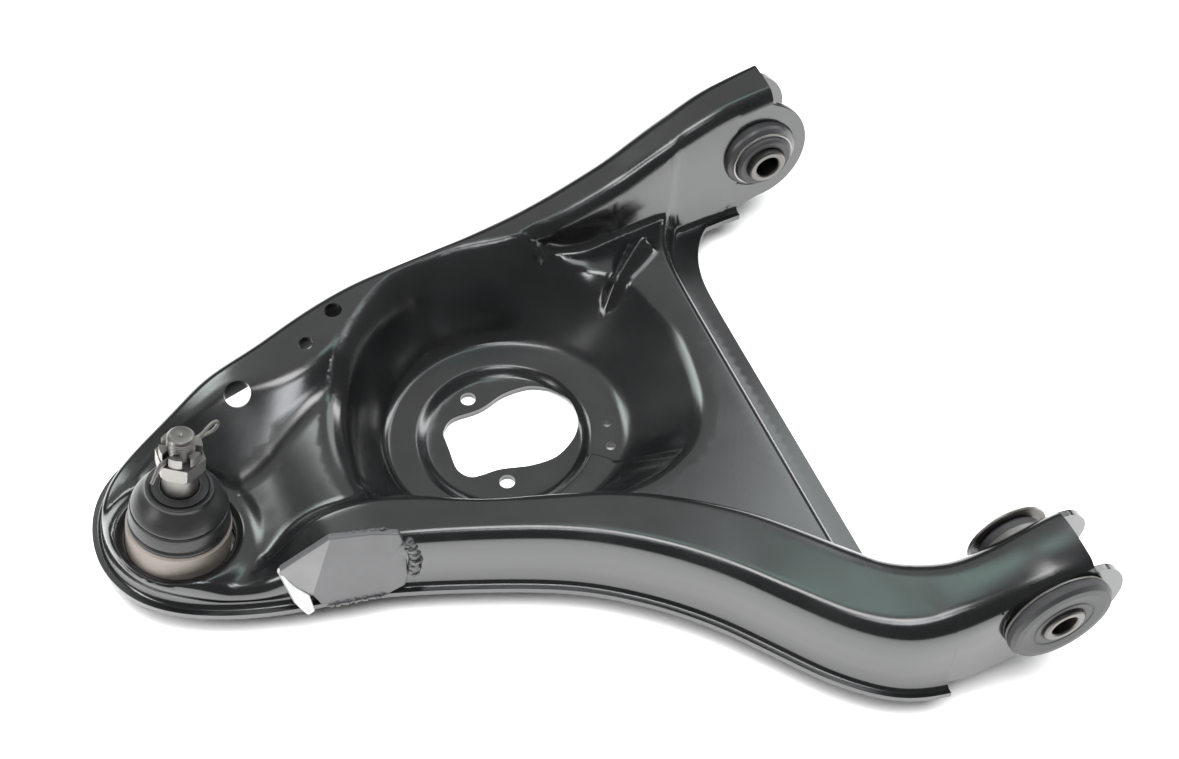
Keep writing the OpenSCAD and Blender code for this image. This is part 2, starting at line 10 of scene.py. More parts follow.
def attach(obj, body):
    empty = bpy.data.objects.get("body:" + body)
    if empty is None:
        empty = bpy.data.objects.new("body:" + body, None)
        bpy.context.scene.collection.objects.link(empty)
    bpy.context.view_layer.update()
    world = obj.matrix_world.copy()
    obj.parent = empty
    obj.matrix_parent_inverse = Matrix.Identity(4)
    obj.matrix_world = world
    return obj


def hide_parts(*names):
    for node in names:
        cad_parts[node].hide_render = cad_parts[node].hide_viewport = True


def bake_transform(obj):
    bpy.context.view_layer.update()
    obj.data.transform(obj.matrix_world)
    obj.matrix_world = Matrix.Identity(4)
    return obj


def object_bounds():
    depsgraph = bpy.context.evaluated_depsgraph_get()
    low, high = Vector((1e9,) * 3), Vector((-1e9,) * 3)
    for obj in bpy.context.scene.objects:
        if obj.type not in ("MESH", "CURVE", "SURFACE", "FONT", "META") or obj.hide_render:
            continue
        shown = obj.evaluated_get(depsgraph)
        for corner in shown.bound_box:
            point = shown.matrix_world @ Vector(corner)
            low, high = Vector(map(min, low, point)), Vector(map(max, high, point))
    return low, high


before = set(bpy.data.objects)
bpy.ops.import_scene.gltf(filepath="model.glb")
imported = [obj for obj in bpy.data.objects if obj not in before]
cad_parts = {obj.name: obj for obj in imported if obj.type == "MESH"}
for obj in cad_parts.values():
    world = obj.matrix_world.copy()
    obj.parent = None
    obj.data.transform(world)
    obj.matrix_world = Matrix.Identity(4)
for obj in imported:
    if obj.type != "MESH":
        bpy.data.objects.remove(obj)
CAD_LO, CAD_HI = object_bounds()
scene = bpy.context.scene
MM = 0.001
TURN = 2 * math.pi
rad = math.radians

# -------- measures, in mm
SHEET = 3.6
FLANGE_Z, FLANGE_W = -38.0, 6.0
WEB_Z = -20.0
# pocket of the spring: its seat ring, the plate inside it and the ramp round the seat
SEAT = np.array([-200.6, 216.5])
SEAT_Z, SEAT_R, SEAT_IN, PLATE_Z = -50.0, 62.0, 49.5, -54.0
RAMP_STOP, RAMP_SPAN, RAMP_RISE = rad(-40), rad(150), 4.5
ROLL, WEB_ROLL_LESS = 6.0, 3.0
# ends of the legs, and where the flat bushing walls take over from the pressed shell
FRONT_Y = 334.0
REAR_END, FRONT_END = 18.0, 8.0
REAR_CUT, FRONT_CUT = -30.0, -14.0
REAR_EDGE_X, REAR_INNER_CUT, FRONT_OUTER_CUT, FRONT_FOOT = -54.0, -24.0, -20.0, 2.5
END_SLOPE = 0.19
REAR_SHELL_R, FRONT_SHELL_R = 18.4, 22.4
# ball joint: its centre and lean, and the seat pressed for it (a leaning plane, a step and a collar)
BJ = np.array([-385.5, 202.5, -22.0])
LEAN_IN, LEAN_FWD = rad(10.2), rad(2.8)
PLANE_Z, PLANE_SLOPE_X, PLANE_SLOPE_Y, PLANE_R, PLANE_RUN = -23.6, 0.13, 0.04, 44, 11
STEP_R, STEP_DROP = 32.6, 3.6
HOUSING_HOLE_R, COLLAR_R, COLLAR_RUN, COLLAR_DROP = 27.02, 27.75, 0.6, 13.0
# holes: centre and radius
LINK = (-333.6, 265.6, 7.2)
SMALL = ((-289.9, 280.9, 4.1), (-269.3, 296.7, 4.9))
BOLTS = ((-209.5, 249.6, 4.4), (-209.5, 188.6, 4.4))
GAUGES = ((-144.5, 202.2, 2.7), (-148.8, 187.1, 2.9))
HOLES = (LINK, *SMALL, *BOLTS, *GAUGES)
# raised ledge of the base beside the front leg
LEDGE_X, LEDGE_X_RUN, LEDGE_Y, LEDGE_Y_RUN, LEDGE_FROM, LEDGE_Z = -116, 48, 262, 26, -235, -3.0
# crown of the rear leg's end
CROWN, CROWN_RUN, LEG_HALF = 2.2, 60, 20.0
# dart pressed through the pocket's front corner, its crest falling from the start
DART0, DART1 = np.array([-87.0, 290.0]), np.array([-114.0, 268.5])
DART_Z, DART_SLOPE, DART_BEND, DART_SIDES, DART_ROUND = -11.5, 0.14, 0.002, 1.35, 2.0
DART_MERGE = 3.6
# where the front leg's inner wall runs out into the pocket
RUN_OUT, RUN_OUT_R, RUN_OUT_PASSES = np.array([-141.0, 300.8]), 6.0, 14

RIM = [
    (30, -20), (18, -20), (-10, -20), (-32, -20), (-52, -19.3), (-77, -12.5), (-101, 7), (-122, 33),
    (-143, 59), (-171, 85), (-206, 108), (-258, 129.5), (-305, 144.5), (-346, 151.5), (-376, 160.5),
    (-400, 173), (-416, 190), (-423, 215), (-417, 242), (-400, 260), (-366, 277), (-349, 286),
    (-318, 295), (-286, 306.5), (-254, 315), (-223, 318), (-192, 321), (-160, 326), (-127, 332.5),
    (-93, 339), (-59, 346), (-26, 351), (8, 351.5), (20, 351.5),
]
REAR_IN = [
    (30, 20), (18, 20), (-8, 20), (-26, 20), (-42, 22), (-65, 36), (-80, 53), (-96, 72), (-118, 95),
    (-152, 118.5), (-181, 131), (-214, 142.5), (-239, 151), (-276, 168.5), (-300, 177), (-325, 180),
    (-346, 172),
]
FRONT_IN = [
    (20, 316.5), (8, 316.5), (-16, 316.5), (-38, 314.5), (-78, 310), (-105, 306.5), (-131, 304),
    (-150, 303.6), (-167, 306.7), (-190, 311), (-207, 312), (-222, 310.5), (-241, 301), (-258, 286.5),
    (-276, 268), (-300, 256), (-330, 248), (-355, 244), (-380, 246), (-402, 240),
]
POCKET = [
    (-90.5, 236), (-90.7, 213), (-97.5, 176), (-108.5, 158), (-126, 145), (-152, 137), (-181, 134.5),
    (-214, 144.5), (-239, 153), (-272, 169), (-290, 179), (-296.5, 190), (-296, 207), (-292.5, 227),
    (-286, 245.5), (-272, 269), (-258, 286), (-241, 300), (-220, 309.5), (-190, 309.5), (-167, 305),
    (-145, 300), (-120, 288), (-101, 268),
]
EDGE = [(-72.5, 20), (-72.5, 60), (-72.5, 150), (-72.5, 250), (-71, 279), (-66, 296), (-57, 311), (-50, 322)]
LIP = [
    (-57, 20), (-57, 60), (-57, 150), (-57, 250), (-54.5, 275), (-50, 288), (-44.5, 297), (-37, 305),
    (-26, 310.5), (-12, 313.4), (8, 314.2), (20, 314.6),
]
REAR_TOP = [
    (-440, -27), (-352, -27), (-322, -8), (-290, -1), (-210, 2), (-120, 4), (-80, 8), (-50, 14),
    (-30, 17), (-10, 20), (4, 24), (20, 27), (40, 29),
]
FRONT_TOP = [
    (-440, -27), (-405, -26), (-385, -20), (-366, -13), (-340, -6), (-286, -2), (-200, 2), (-150, 3.5),
    (-127, 6), (-93, 13), (-59, 26), (-26, 36), (8, 42), (40, 46),
]
BASE = [
    (-440, -27), (-350, -27), (-335, -25), (-315, -18), (-296, -12), (-275, -9), (-240, -10),
    (-200, -20), (40, -20),
]
OPENING = [
    (-230.5, 233), (-222.8, 239.8), (-205.8, 240.4), (-191.2, 245.2), (-180, 246), (-172, 244.4),
    (-164.5, 239), (-157.4, 227.8), (-156.7, 217.6), (-158.6, 210), (-165.2, 201.6), (-177.8, 194.2),
    (-192.9, 193.7), (-209.7, 197.6), (-220.8, 197.8), (-226.9, 198.8), (-231, 203.3), (-232.4, 209),
    (-231.7, 218.9), (-231.2, 228),
]


# -------- curves and profiles
def spline_point(a, b, c, d, t):
    """Point at t of the smooth span from b to c."""
    square, cube = 2 * a - 5 * b + 4 * c - d, 3 * b - a - 3 * c + d
    return 0.5 * (2 * b + (c - a) * t + square * t * t + cube * t ** 3)


def catmull(points, closed=False, k=12):
    """Smooth line through the points, k samples to a span."""
    p = np.array(points, float)
    n = len(p)
    out = []
    for i in range(n if closed else n - 1):
        if closed:
            span = p[i - 1], p[i], p[(i + 1) % n], p[(i + 2) % n]
        else:
            span = p[max(i - 1, 0)], p[i], p[i + 1], p[min(i + 2, n - 1)]
        out += [spline_point(*span, j / k) for j in range(k)]
    if not closed:
        out.append(p[-1])
    return np.array(out)


def lengths(p):
    """Distance along a line at each of its points."""
    return np.concatenate([[0], np.cumsum(np.linalg.norm(np.diff(p, axis=0), axis=1))])


def evenly(p, s, n):
    """n + 1 points at equal distances along a line with lengths s."""
    t = np.linspace(0, s[-1], n + 1)
    return np.stack([np.interp(t, s, p[:, i]) for i in range(p.shape[1])], 1)


def resample(p, step, closed=False):
    q = np.vstack([p, p[:1]]) if closed else p
    s = lengths(q)
    r = evenly(q, s, max(int(round(s[-1] / step)), 4))
    return r[:-1] if closed else r


def gauss(v, sigma, closed=False):
    """Evenly spaced values, smoothed; open ends keep their direction."""
    m = int(3 * sigma) + 1
    k = np.exp(-0.5 * (np.arange(-m, m + 1) / sigma) ** 2)
    k /= k.sum()
    v = np.array(v, float)
    if closed:
        e = np.concatenate([v[-m:], v, v[:m]])
    else:
        e = np.concatenate([2 * v[0] - v[m:0:-1], v, 2 * v[-1] - v[-2:-m - 2:-1]])
    if v.ndim == 1:
        return np.convolve(e, k, "valid")
    return np.stack([np.convolve(e[:, i], k, "valid") for i in range(v.shape[1])], 1)


class Curve:
    """Smooth plan line with its side direction and distances to it."""

    REACH = 300         # straight run added at each end
    CHUNK = 4000        # points measured at a time

    def __init__(self, points, step=2.5, smooth=7.0):
        self.p = gauss(resample(catmull(points), step), smooth / step)
        nxt = np.vstack([self.p[1:], 2 * self.p[-1] - self.p[-2]])
        prv = np.vstack([2 * self.p[0] - self.p[1], self.p[:-1]])
        t = nxt - prv
        t /= np.linalg.norm(t, axis=1)[:, None]
        self.t = t
        self.right = np.stack([t[:, 1], -t[:, 0]], 1)

    def dist(self, q):
        """Signed distance, positive to the right of the curve's direction."""
        p = np.vstack([self.p[:1] - self.REACH * self.t[:1], self.p, self.p[-1:] + self.REACH * self.t[-1:]])
        a, d = p[:-1], np.diff(p, axis=0)
        l2 = (d * d).sum(1)
        out = np.empty(len(q))
        for i in range(0, len(q), self.CHUNK):
            w = q[i:i + self.CHUNK, None] - a[None]
            t = np.clip((w * d).sum(2) / l2, 0, 1)
            e = w - t[..., None] * d
            m = (e * e).sum(2)
            j = m.argmin(1)
            r = np.arange(len(j))
            side = np.sign(w[r, j, 0] * d[j, 1] - w[r, j, 1] * d[j, 0])
            out[i:i + self.CHUNK] = np.sqrt(m[r, j]) * np.where(side == 0, 1, side)
        return out

    def nearest(self, q):
        """Index of the nearest sample of the curve."""
        out = np.empty(len(q), int)
        for i in range(0, len(q), self.CHUNK):
            w = q[i:i + self.CHUNK, None] - self.p[None]
            out[i:i + self.CHUNK] = (w * w).sum(2).argmin(1)
        return out


def table(rows, sigma=7):
    """Levels over x, smoothed: the arguments that np.interp takes after its first."""
    x = np.arange(-460, 61, 1.0)
    return x, gauss(np.interp(x, [r[0] for r in rows], [r[1] for r in rows]), sigma)


REAR_LEVEL, FRONT_LEVEL, BASE_LEVEL = table(REAR_TOP), table(FRONT_TOP), table(BASE)


def wall_parts(h, rt, rb, draft):
    """Distances and radii that make up a wall of height h with a rounded top and foot."""
    s = np.sin(draft)
    k = np.clip(h / np.maximum((rt + rb) * (1 - s), 1e-6), 1e-3, 1)
    rt, rb = rt * k, rb * k
    tan = np.tan(draft)
    t0 = (h / 2 - rt * (1 - s)) * tan
    b1 = (-h / 2 + rb * (1 - s)) * tan
    return t0, t0 + rt * np.cos(draft), b1 - rb * np.cos(draft), b1, rt, rb, tan


def step_z(d, low, high, rt, rb, draft):
    """Level at signed distance d across a wall that climbs from low to high."""
    h = np.maximum(high - low, 1e-3)
    t0, t1, b0, b1, rt, rb, tan = wall_parts(h, rt, rb, draft)
    wall = low + h / 2 + d / tan
    top = high - rt + np.sqrt(np.maximum(rt ** 2 - (d - t1) ** 2, 0))
    foot = low + rb - np.sqrt(np.maximum(rb ** 2 - (d - b0) ** 2, 0))
    z = np.where(d >= b0, foot, low)
    z = np.where(d >= b1, wall, z)
    z = np.where(d >= t0, top, z)
    return np.where(d >= t1, high, z)


RIM_C, REAR_C, FRONT_C = Curve(RIM), Curve(REAR_IN), Curve(FRONT_IN)
EDGE_C, LIP_C = Curve(EDGE, smooth=5), Curve(LIP, smooth=4)


def along(x, rows):
    return np.interp(x, [r[0] for r in rows], [r[1] for r in rows])


# each shape gives a wall's top radius, foot radius and draft over x
def rear_shape(x):
    return (
        along(x, [(-346, 6), (-180, 5), (-150, 8), (-60, 12), (-20, 9), (10, 6)]),
        along(x, [(-346, 8), (-180, 5), (-60, 5), (0, 3)]),
        np.radians(along(x, [(-346, 50), (-300, 38), (-240, 22), (-180, 8), (-100, 5), (-46, 2), (20, 2)])),
    )


def front_shape(x):
    top = [(-402, 25), (-330, 28), (-290, 20), (-262, 9), (-241, 6), (-180, 5), (-150, 9), (-90, 11), (8, 9)]
    foot = [(-402, 25), (-330, 28), (-290, 18), (-262, 8), (-180, 4), (-130, 5), (8, 3)]
    draft = [(-402, 70), (-330, 66), (-290, 58), (-262, 40), (-241, 22), (-180, 8), (-60, 6.6), (8, 6.6)]
    return along(x, top), along(x, foot), np.radians(along(x, draft))


def rim_shape(x):
    top = [(-430, 4), (-402, 4.2), (-375, 6), (-340, 8), (-200, 8), (-100, 10), (-50, 12), (-15, 9), (10, 6)]
    return along(x, top), 3.0 + 0 * x, np.radians(3.0 + 0 * x)


def edge_shape(x):
    return 5.0 + 0 * x, 3.0 + 0 * x, np.radians(14 + 0 * x)


def smooth01(t):
    t = np.clip(t, 0, 1)
    return t * t * (3 - 2 * t)


def base_level(q):
    """Level that the legs stand on: the web, its ledge and the flange behind the web's edge."""
    x, y = q[:, 0], q[:, 1]
    ledge = smooth01((LEDGE_X - x) / LEDGE_X_RUN) * smooth01((y - LEDGE_Y) / LEDGE_Y_RUN) * (x > LEDGE_FROM)
    z = np.interp(x, *BASE_LEVEL)
    z = z + ledge * np.maximum(LEDGE_Z - z, 0)
    near = x > -150
    if near.any():
        e = EDGE_C.dist(q[near])
        z[near] = step_z(-e, FLANGE_Z + 0 * e, z[near], *edge_shape(e))
    return z


def raised(q):
    """Legs standing on the base, without pocket, rim or ball joint seat."""
    x, y = q[:, 0], q[:, 1]
    base = base_level(q)
    crown = CROWN * np.clip((x + CROWN_RUN) / CROWN_RUN, 0, 1) * np.clip(1 - (y / LEG_HALF) ** 2, 0, 1)
    rear_top, front_top = np.interp(x, *REAR_LEVEL) + crown, np.interp(x, *FRONT_LEVEL)
    rear_leg = step_z(-REAR_C.dist(q), base, np.maximum(rear_top, base), *rear_shape(x))
    front_leg = step_z(FRONT_C.dist(q), base, np.maximum(front_top, base), *front_shape(x))
    return np.maximum(rear_leg, front_leg)


# the pocket's edge as radius over angle about the seat's centre
ANG = np.linspace(-math.pi, math.pi, 361)[:-1]


def toward(a):
    """Unit vectors in plan at the angles a."""
    return np.stack([np.cos(a), np.sin(a)], 1)


def around(a, values):
    """Value at the angles a of what is sampled over ANG."""
    return np.interp(a, ANG, values, period=TURN)


def pocket_edge():
    p = catmull(POCKET, True) - SEAT
    a = np.arctan2(p[:, 1], p[:, 0])
    order = np.argsort(a)
    return gauss(np.interp(ANG, a[order], np.hypot(p[:, 0], p[:, 1])[order], period=TURN), 3.0, True)


POCKET_R = pocket_edge()


def web_share(a):
    """1 where the pocket's edge borders the flat web, 0 along the legs and the nose."""
    return smooth01((SEAT[0] + np.cos(a) * around(a, POCKET_R) + 165) / 35)


def roll_start(a):
    """Radius where the sheet begins to roll over into the pocket."""
    return around(a, POCKET_R) + ROLL - WEB_ROLL_LESS * web_share(a)


def ease(t, a, b):
    """0 to 1 over t with a soft start over a and a soft end over b."""
    v = 1 / (1 - a / 2 - b / 2)
    late = np.where(t < 1 - b, v * (t - a / 2), 1 - v * (1 - t) ** 2 / (2 * b))
    return np.where(t < a, v * t * t / (2 * a), late)


def floor_z(r, a):
    """Level of the pocket's floor: the seat with its ramp, and the plate inside it."""
    z = SEAT_Z + (PLATE_Z - SEAT_Z) * smooth01((SEAT_IN - r) / 8.0)
    back = (RAMP_STOP - a) % TURN
    rise = RAMP_RISE * np.clip(1 - back / RAMP_SPAN, 0, 1)
    return z + rise * smooth01((r - SEAT_IN + 1.0) / 2.5)


EDGE_LEVEL = gauss(raised(SEAT + toward(ANG) * (around(ANG, POCKET_R) + ROLL)[:, None]), 9.0, True)
DART_DIR = (DART1 - DART0) / np.linalg.norm(DART1 - DART0)
DART_ACROSS = np.array([-DART_DIR[1], DART_DIR[0]])


def with_pocket(z, q):
    """Levels z with the pocket pressed into them."""
    z = z.copy()
    rel = q - SEAT
    r, a = np.hypot(rel[:, 0], rel[:, 1]), np.arctan2(rel[:, 1], rel[:, 0])
    start = roll_start(a)
    inside = r < start
    if inside.any():
        r, a, start = r[inside], a[inside], start[inside]
        run = start - SEAT_R
        t = np.clip((start - r) / run, 0, 1)
        soft = smooth01(t / 0.3)
        edge = raised(SEAT + toward(a) * start[:, None]) * (1 - soft) + around(a, EDGE_LEVEL) * soft
        foot = floor_z(np.minimum(r, SEAT_R), a)
        g = ease(t, np.minimum(0.5, (18 - 11 * web_share(a)) / run), np.minimum(0.3, 9 / run))
        z[inside] = np.where(r > SEAT_R, edge + (foot - edge) * g, foot)
    return z


def with_dart(z, q):
    """Levels z with the dart's ridge merged in softly."""
    rel = q - DART0
    u, v = rel @ DART_DIR, rel @ DART_ACROSS
    crest = DART_Z - DART_SLOPE * u - DART_BEND * np.maximum(u, 0) ** 2
    ridge = crest - DART_SIDES * np.sqrt(v * v + DART_ROUND) + 1.9 - 60 * np.clip(-u / 30, 0, 1) ** 2
    ridge = ridge - 0.045 * np.maximum(u - 26, 0) ** 2
    ridge = np.where((u < -4) | (u > 54) | (np.abs(v) > 24), -99, ridge)
    h = np.maximum(DART_MERGE - np.abs(z - ridge), 0) / DART_MERGE
    return np.maximum(z, ridge) + h * h * DART_MERGE / 4


def with_ball_seat(z, q):
    """Levels z with the ball joint's seat."""
    x, y = q[:, 0] - BJ[0], q[:, 1] - BJ[1]
    r = np.hypot(x, y)
    w = smooth01((PLANE_R - r) / PLANE_RUN)
    z = z * (1 - w) + (PLANE_Z - PLANE_SLOPE_X * x - PLANE_SLOPE_Y * y) * w
    z = z - STEP_DROP * smooth01((STEP_R - r) / STEP_DROP)
    return z - COLLAR_DROP * np.clip((COLLAR_R - r) / COLLAR_RUN, 0, 1)


def shell_z(q):
    """Level of the pressed shell's upper face at plan points q."""
    z = with_ball_seat(with_dart(with_pocket(raised(q), q), q), q)
    d = RIM_C.dist(q)
    near = (d < 40) & ((z > FLANGE_Z + 4) | (d < 8))
    low, high = FLANGE_Z + 0 * d[near], np.maximum(z[near], FLANGE_Z + 2)
    z[near] = step_z(d[near], low, high, *rim_shape(q[near, 0]))
    return z


# -------- mesh helpers
def added(name, data):
    o = bpy.data.objects.new(name, data)
    scene.collection.objects.link(o)
    return o


def make(name, verts, faces):
    """Smooth mesh object from points in mm."""
    me = bpy.data.meshes.new(name)
    me.from_pydata((np.asarray(verts, float) * MM).tolist(), [], [tuple(int(i) for i in f) for f in faces])
    me.update()
    me.polygons.foreach_set("use_smooth", [True] * len(me.polygons))
    return added(name, me)


def outward(o):
    """Makes a closed mesh's faces point outward."""
    bm = bmesh.new()
    bm.from_mesh(o.data)
    bmesh.ops.recalc_face_normals(bm, faces=bm.faces)
    bm.to_mesh(o.data)
    bm.free()
    return o


def plate(name, upper, lower, faces):
    """Closed plate between two copies of a face list, and the vertex pairs along its border."""
    n = len(upper)
    edges = {(int(a), int(b)): None for f in faces for a, b in zip(f, [*f[1:], f[0]])}
    border = [(a, b) for a, b in edges if (b, a) not in edges]
    sides = [tuple(f) for f in faces] + [tuple(i + n for i in f[::-1]) for f in faces]
    sides += [(b, a, a + n, b + n) for a, b in border]
    pairs = {tuple(sorted((a + k, b + k))) for a, b in border for k in (0, n)}
    return make(name, np.vstack([upper, lower]), sides), pairs


def weigh_normals(o, weight=80, keep_sharp=False):
    w = o.modifiers.new("normals", "WEIGHTED_NORMAL")
    w.weight = weight
    w.keep_sharp = keep_sharp


def bevel(o, width, angle=None):
    """Rounds the edges sharper than an angle in degrees, or those that have a bevel weight."""
    m = o.modifiers.new("bevel", "BEVEL")
    m.width = width * MM
    m.segments = 3
    m.limit_method = "ANGLE" if angle else "WEIGHT"
    if angle:
        m.angle_limit = rad(angle)
    weigh_normals(o, keep_sharp=True)


def rounded(points, radius, k=3):
    """Closed section with its corners rounded; points on the axis stay."""
    p = [np.array(q, float) for q in points]
    n = len(p)
    out = []
    for i in range(n):
        a, b, c = p[i - 1], p[i], p[(i + 1) % n]
        la, lc = np.linalg.norm(a - b), np.linalg.norm(c - b)
        if b[0] < 1e-6 or la < 1e-6 or lc < 1e-6:
            out.append(b)
            continue
        u, v = (a - b) / la, (c - b) / lc
        turn = math.pi - math.acos(float(np.clip(u @ v, -1, 1)))
        if turn < 0.15:
            out.append(b)
            continue
        reach = min(radius * math.tan(turn / 2), 0.42 * la, 0.42 * lc)
        s0, s1 = b + u * reach, b + v * reach
        out += [(1 - t) ** 2 * s0 + 2 * t * (1 - t) * b + t * t * s1 for t in (j / k for j in range(k + 1))]
    return out


def place(v, at):
    """Points in mm moved from a frame's own axes to the part's."""
    return v @ at[:3, :3].T + at[:3, 3]


def ring_points(r, h, n):
    angles = [TURN * j / n for j in range(n)]
    return [(r * math.cos(a), r * math.sin(a), h) for a in angles]


def lathe(name, section, at, segments=96, weighted=True):
    """Turned piece: closed section of (radius, height) about the frame at."""
    rings, verts = [], []
    for r, h in section:
        ring = [(0, 0, h)] if r < 1e-6 else ring_points(r, h, segments)
        rings.append(range(len(verts), len(verts) + len(ring)))
        verts += ring
    faces = []
    for a, b in zip(rings, rings[1:] + rings[:1]):
        if len(a) == 1 and len(b) == 1:
            continue
        for j in range(segments):
            k = (j + 1) % segments
            if len(a) == 1:
                faces.append((a[0], b[j], b[k]))
            elif len(b) == 1:
                faces.append((a[j], b[0], a[k]))
            else:
                faces.append((a[j], b[j], b[k], a[k]))
    o = outward(make(name, place(np.array(verts, float), at), faces))
    if weighted:
        weigh_normals(o)
    return o


def turned(name, at, corner, points, segments=96):
    return lathe(name, rounded(points, corner), at, segments)


def tube(name, p, radius, sides=12):
    """Round bar along points in mm; radius is a number or one per point."""
    n = len(p)
    rr = np.broadcast_to(np.asarray(radius, float), (n,))
    t = np.gradient(p, axis=0)
    t /= np.linalg.norm(t, axis=1)[:, None]
    up = np.array([0, 0, 1.0]) if abs(t[0, 2]) < 0.9 else np.array([1.0, 0, 0])
    verts, faces = [], []
    for i in range(n):
        u = up - (up @ t[i]) * t[i]
        u /= np.linalg.norm(u)
        up = u
        w = np.cross(t[i], u)
        for j in range(sides):
            a = TURN * j / sides
            verts.append(p[i] + rr[i] * (math.cos(a) * u + math.sin(a) * w))
    for i in range(n - 1):
        k = i + 1
        for j in range(sides):
            m = (j + 1) % sides
            faces.append((i * sides + j, i * sides + m, k * sides + m, k * sides + j))
    faces.append(tuple(range(sides)))
    faces.append(tuple(range((n - 1) * sides, n * sides))[::-1])
    return outward(make(name, verts, faces))


def axes(x, z, origin):
    """Frame with the given Z and an X as near as can be to the given one."""
    x, z = np.array(x, float), np.array(z, float)
    z /= np.linalg.norm(z)
    x -= (x @ z) * z
    x /= np.linalg.norm(x)
    m = np.eye(4)
    m[:3, 0], m[:3, 1], m[:3, 2], m[:3, 3] = x, np.cross(z, x), z, origin
    return m


def circle(x, y, r, n):
    a = np.arange(n) * TURN / n
    return np.stack([x + r * np.cos(a), y + r * np.sin(a)], 1)


def in_polygon(q, poly):
    inside = np.zeros(len(q), bool)
    x, y = q[:, 0], q[:, 1]
    for (ax, ay), (bx, by) in zip(poly, np.roll(poly, -1, 0)):
        hit = (ay > y) != (by > y)
        inside ^= hit & (x < (bx - ax) * (y - ay) / (by - ay + 1e-12) + ax)
    return inside


# -------- materials
DRIFT_SCALE, BUMP_HEIGHT = 21.6, 0.0004


def finish_of(name, color, rough, metallic=0.0, vary=0.12, rough_vary=0.06, bump=0.02, fine=1400.0, ior=1.5):
    """Surface finish: colour and roughness that drift a little, with a fine grain."""
    m = bpy.data.materials.new(name)
    m.use_nodes = True
    nodes, link = m.node_tree.nodes, m.node_tree.links.new
    shader = next(n for n in nodes if n.type == "BSDF_PRINCIPLED")
    where = nodes.new("ShaderNodeTexCoord").outputs["Object"]

    def node(kind, **values):
        n = nodes.new("ShaderNode" + kind)
        for key, value in values.items():
            n.inputs[key.replace("_", " ")].default_value = value
        return n

    drift = node("TexNoise", Scale=DRIFT_SCALE, Detail=5.0, Roughness=0.6)
    grain = node("TexNoise", Scale=fine, Detail=3.0)
    for noise in (drift, grain):
        link(where, noise.inputs["Vector"])
    mix = nodes.new("ShaderNodeMix")
    mix.data_type = "RGBA"
    mix.inputs[6].default_value = (*color, 1)
    mix.inputs[7].default_value = (*(min(c * (1 + vary * 3) + 0.002, 1) for c in color), 1)
    share = node("MapRange", From_Min=0.4, From_Max=0.7)
    link(drift.outputs["Fac"], share.inputs["Value"])
    link(share.outputs["Result"], mix.inputs[0])
    link(mix.outputs[2], shader.inputs["Base Color"])
    gloss = node("MapRange", From_Min=0.3, From_Max=0.75,
                 To_Min=max(rough - rough_vary, 0.02), To_Max=min(rough + rough_vary, 1))
    link(drift.outputs["Fac"], gloss.inputs["Value"])
    link(gloss.outputs["Result"], shader.inputs["Roughness"])
    relief = node("Bump", Strength=bump, Distance=BUMP_HEIGHT)
    link(grain.outputs["Fac"], relief.inputs["Height"])
    link(relief.outputs["Normal"], shader.inputs["Normal"])
    shader.inputs["Metallic"].default_value = metallic
    shader.inputs["IOR"].default_value = ior
    return m


FINISHES = {
    "black_coat": ((0.0035, 0.0038, 0.004), 0.19,
                   dict(vary=0.1, rough_vary=0.04, bump=0.05, fine=900, ior=1.85)),
    "stop_steel": ((0.045, 0.045, 0.047), 0.40, dict(vary=0.2, bump=0.12, ior=1.7)),
    "weld_steel": ((0.014, 0.014, 0.015), 0.30, dict(vary=0.5, bump=0.9, fine=450, ior=1.8)),
    "bright_steel": ((0.22, 0.213, 0.20), 0.42, dict(metallic=1.0, bump=0.08)),
    "dark_steel": ((0.16, 0.16, 0.165), 0.40, dict(metallic=0.8, bump=0.12)),
    "plated_steel": ((0.50, 0.48, 0.45), 0.40, dict(metallic=1.0, bump=0.15)),
    "bushing_rubber": ((0.018, 0.018, 0.019), 0.50, dict(bump=0.25, fine=900)),
    "boot_rubber": ((0.010, 0.010, 0.0105), 0.36, dict(bump=0.12, fine=900)),
    "bearing_plastic": ((0.70, 0.66, 0.52), 0.5, dict(bump=0.1)),
    "spring_steel": ((0.35, 0.35, 0.37), 0.35, dict(metallic=1.0, bump=0.1)),
    # shades of the materials above, and the floor; the stop's two lighter steels are painted highlights on
    # its lit left facet and tab
    "ring_steel": ((0.205, 0.18, 0.16), 0.50, dict(metallic=0.5, vary=0.1, bump=0.25)),
    "sleeve_steel": ((0.115, 0.11, 0.102), 0.45, dict(metallic=1.0, vary=0.2, bump=0.15)),
    "nut_steel": ((0.25, 0.242, 0.228), 0.42, dict(metallic=1.0, bump=0.2)),
    "shell_black": ((0.02, 0.02, 0.021), 0.35, dict(vary=0.15, bump=0.15, ior=1.7)),
    "stop_facet_painted_highlight": ((0.11, 0.11, 0.112), 0.42, dict(vary=0.2, bump=0.12, ior=1.7)),
    "stop_tab_painted_highlight": ((0.42, 0.42, 0.42), 0.38, dict(metallic=0.3, vary=0.2, bump=0.2, ior=1.7)),
    "floor_white": ((0.9, 0.9, 0.9), 0.7, dict(vary=0.0, bump=0.0)),
}
MATS = {name: finish_of(name, color, rough, **more) for name, (color, rough, more) in FINISHES.items()}


def paint(o, mat):
    o.data.materials.clear()
    o.data.materials.append(MATS[mat])


def dress(o, body, slot, mat=None, *nodes):
    """Material (mat, or else the slot's), body and the CAD nodes that the piece stands for."""
    paint(o, mat or slot)
    if body:
        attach(o, body)
    if nodes:
        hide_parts(*nodes)
    return o


